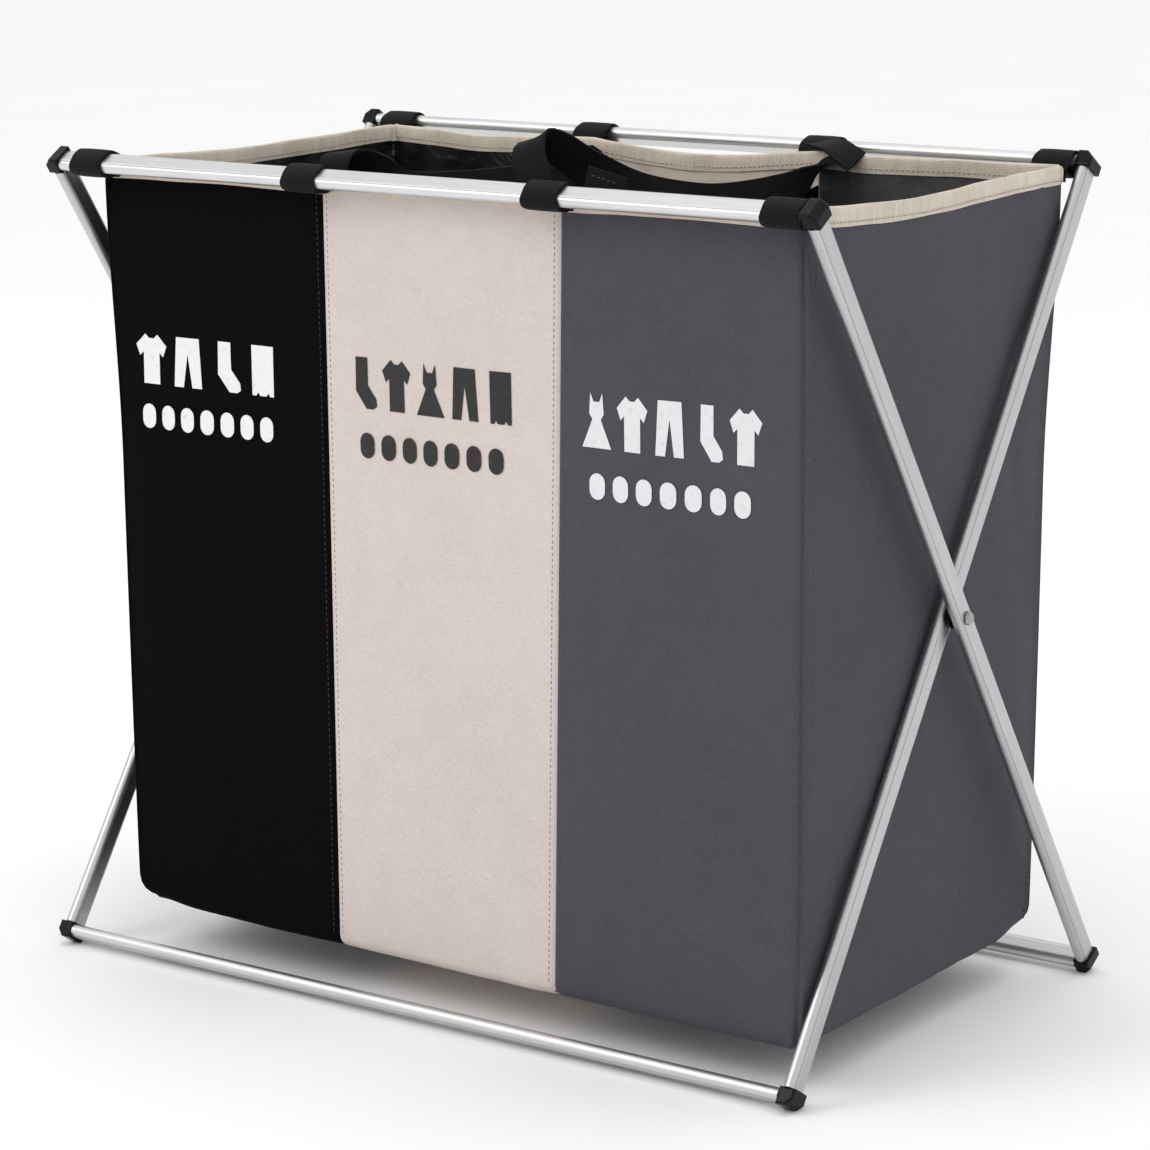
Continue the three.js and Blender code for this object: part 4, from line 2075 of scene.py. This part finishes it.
@dataclass
class CrossedFrames:
    """Finishes of the tubes, corner elbows and pivot pieces, whose CAD shapes stay."""

    RAILS = {
        "a": ("rail_front_top", "rail_rear_bottom"),
        "b": ("rail_rear_top", "rail_front_bottom"),
    }

    lean: float

    @classmethod
    def from_frame(cls) -> "CrossedFrames":
        """Reads the lean of the frames from their rails.

        Returns:
            The frames.
        """
        top, bottom = (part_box(name) for name in ("rail_rear_top", "rail_front_bottom"))
        rise = (top[0] + top[1] - bottom[0] - bottom[1]) / 2
        return cls(math.atan2(rise.y, rise.z))

    def dress(self) -> None:
        """Gives every frame node its finish."""
        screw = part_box("pivot_screw_right")
        centre = (0.0, 0.0, (screw[0].z + screw[1].z) / 2)
        plastic, steel = MouldedPlastic().material(), ZincSteel().material()
        for tag, sign in (("a", -1), ("b", 1)):
            along = (0.0, sign * math.sin(self.lean), math.cos(self.lean))
            across = (0.0, math.cos(self.lean), -sign * math.sin(self.lean))
            # The legs take a darker copy of the rails' aluminium (0.52 against 0.64): painted shade.
            leg = SatinAluminium(f"leg_aluminium_{tag}", along, across, centre, 0.52).material()
            rail = SatinAluminium(f"rail_aluminium_{tag}", (1.0, 0.0, 0.0), across, centre).material()
            self.paint([f"leg_{hand}_{tag}" for hand in HANDS], leg)
            self.paint(self.RAILS[tag], rail)
            for level in ("top", "bottom"):
                self.paint([f"elbow_{level}_{hand}_{tag}" for hand in HANDS], plastic)
        self.paint([f"pivot_washer_{hand}" for hand in HANDS], plastic)
        for part in ("screw", "nut"):
            self.paint([f"pivot_{part}_{hand}" for hand in HANDS], steel)
        log.info("frames: lean %.1f degrees", math.degrees(self.lean))

    @staticmethod
    def paint(nodes: Sequence[str], material: bpy.types.Material) -> None:
        """Puts a finish on CAD nodes.

        Args:
            nodes: Their names.
            material: The finish.
        """
        for name in nodes:
            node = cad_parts[name]
            node.data.materials.clear()
            node.data.materials.append(material)


@dataclass
class Studio:
    """Pale floor, soft lights and the camera."""

    eye: Vector = field(default_factory=lambda: Vector((1.5021, -2.0523, 0.8057)))
    target: Vector = field(default_factory=lambda: Vector((0.0042, 0.0, 0.2744)))
    roll: float = -0.294
    lens: float = 118.18
    sensor: float = 36.0

    def build(self) -> None:
        """Makes the floor, the lights and the camera."""
        scene = bpy.context.scene
        scene.view_settings.view_transform = "Standard"
        self.floor()
        self.sky(scene)
        self.light("key", (-1.6, -2.4, 2.4), (0, 0, 0.3), 1.6, 26.0)
        self.light("overhead", (0.2, 0.3, 3.0), (0, 0, 0.2), 2.4, 14.0)
        data = bpy.data.cameras.new("camera")
        data.sensor_width = self.sensor
        data.lens = self.lens
        camera = bpy.data.objects.new("camera", data)
        facing = (self.target - self.eye).to_track_quat("-Z", "Y").to_matrix().to_4x4()
        rolled = facing @ Matrix.Rotation(math.radians(self.roll), 4, "Z")
        camera.matrix_world = Matrix.Translation(self.eye) @ rolled
        scene.collection.objects.link(camera)
        scene.camera = camera

    @staticmethod
    def floor() -> None:
        """Makes the pale floor."""
        graph = Graph("pale_floor")
        place = graph.node("ShaderNodeTexCoord", output="Object")
        cloud = graph.noise(place, 3.0, 2.0)
        material = graph.surface(
            {"Specular IOR Level": 0.1},
            {
                "Base Color": graph.mix(cloud, (0.93, 0.93, 0.93), (0.95, 0.95, 0.95)),
                "Roughness": cloud * 0.1 + 0.85,
            },
        )
        mesh = bpy.data.meshes.new("floor")
        ring = [(14 * math.cos(a), 14 * math.sin(a), 0) for a in np.linspace(0, 2 * math.pi, 65)[:-1]]
        mesh.from_pydata(ring, [], [tuple(range(64))])
        mesh.materials.append(material)
        made = bpy.data.objects.new("floor", mesh)
        bpy.context.scene.collection.objects.link(made)

    @staticmethod
    def sky(scene: bpy.types.Scene) -> None:
        """Sets a plain white surround.

        Args:
            scene: The scene.
        """
        world = bpy.data.worlds.new("surround")
        world.use_nodes = True
        world.node_tree.nodes["Background"].inputs["Color"].default_value = (1.0, 1.0, 1.0, 1.0)
        world.node_tree.nodes["Background"].inputs["Strength"].default_value = 1.0
        scene.world = world

    @staticmethod
    def light(name: str, place: Sequence[float], at: Sequence[float], size: float, power: float) -> None:
        """Adds a soft square light.

        Args:
            name: Its name.
            place: Where it hangs.
            at: What it points at.
            size: Length of its side.
            power: Its power in watts.
        """
        data = bpy.data.lights.new(name, "AREA")
        data.shape = "SQUARE"
        data.size = size
        data.energy = power
        lamp = bpy.data.objects.new(name, data)
        facing = (Vector(at) - Vector(place)).to_track_quat("-Z", "Y").to_matrix().to_4x4()
        lamp.matrix_world = Matrix.Translation(Vector(place)) @ facing
        bpy.context.scene.collection.objects.link(lamp)


def main() -> None:
    """Builds the scene."""
    logging.basicConfig(level=logging.INFO, format="%(message)s")
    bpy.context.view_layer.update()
    Studio().build()
    palette = Palette.make()
    CrossedFrames.from_frame().dress()
    form = BagForm.from_frame()
    BagShell(form, palette).build()
    RimTape(form, palette).build()
    Dividers(form, palette).build()
    HangingLoops(form, palette).build()
    CarryingStraps(form, palette).build()
    Prints(form, palette).build()


if __name__ == "__main__":
    main()
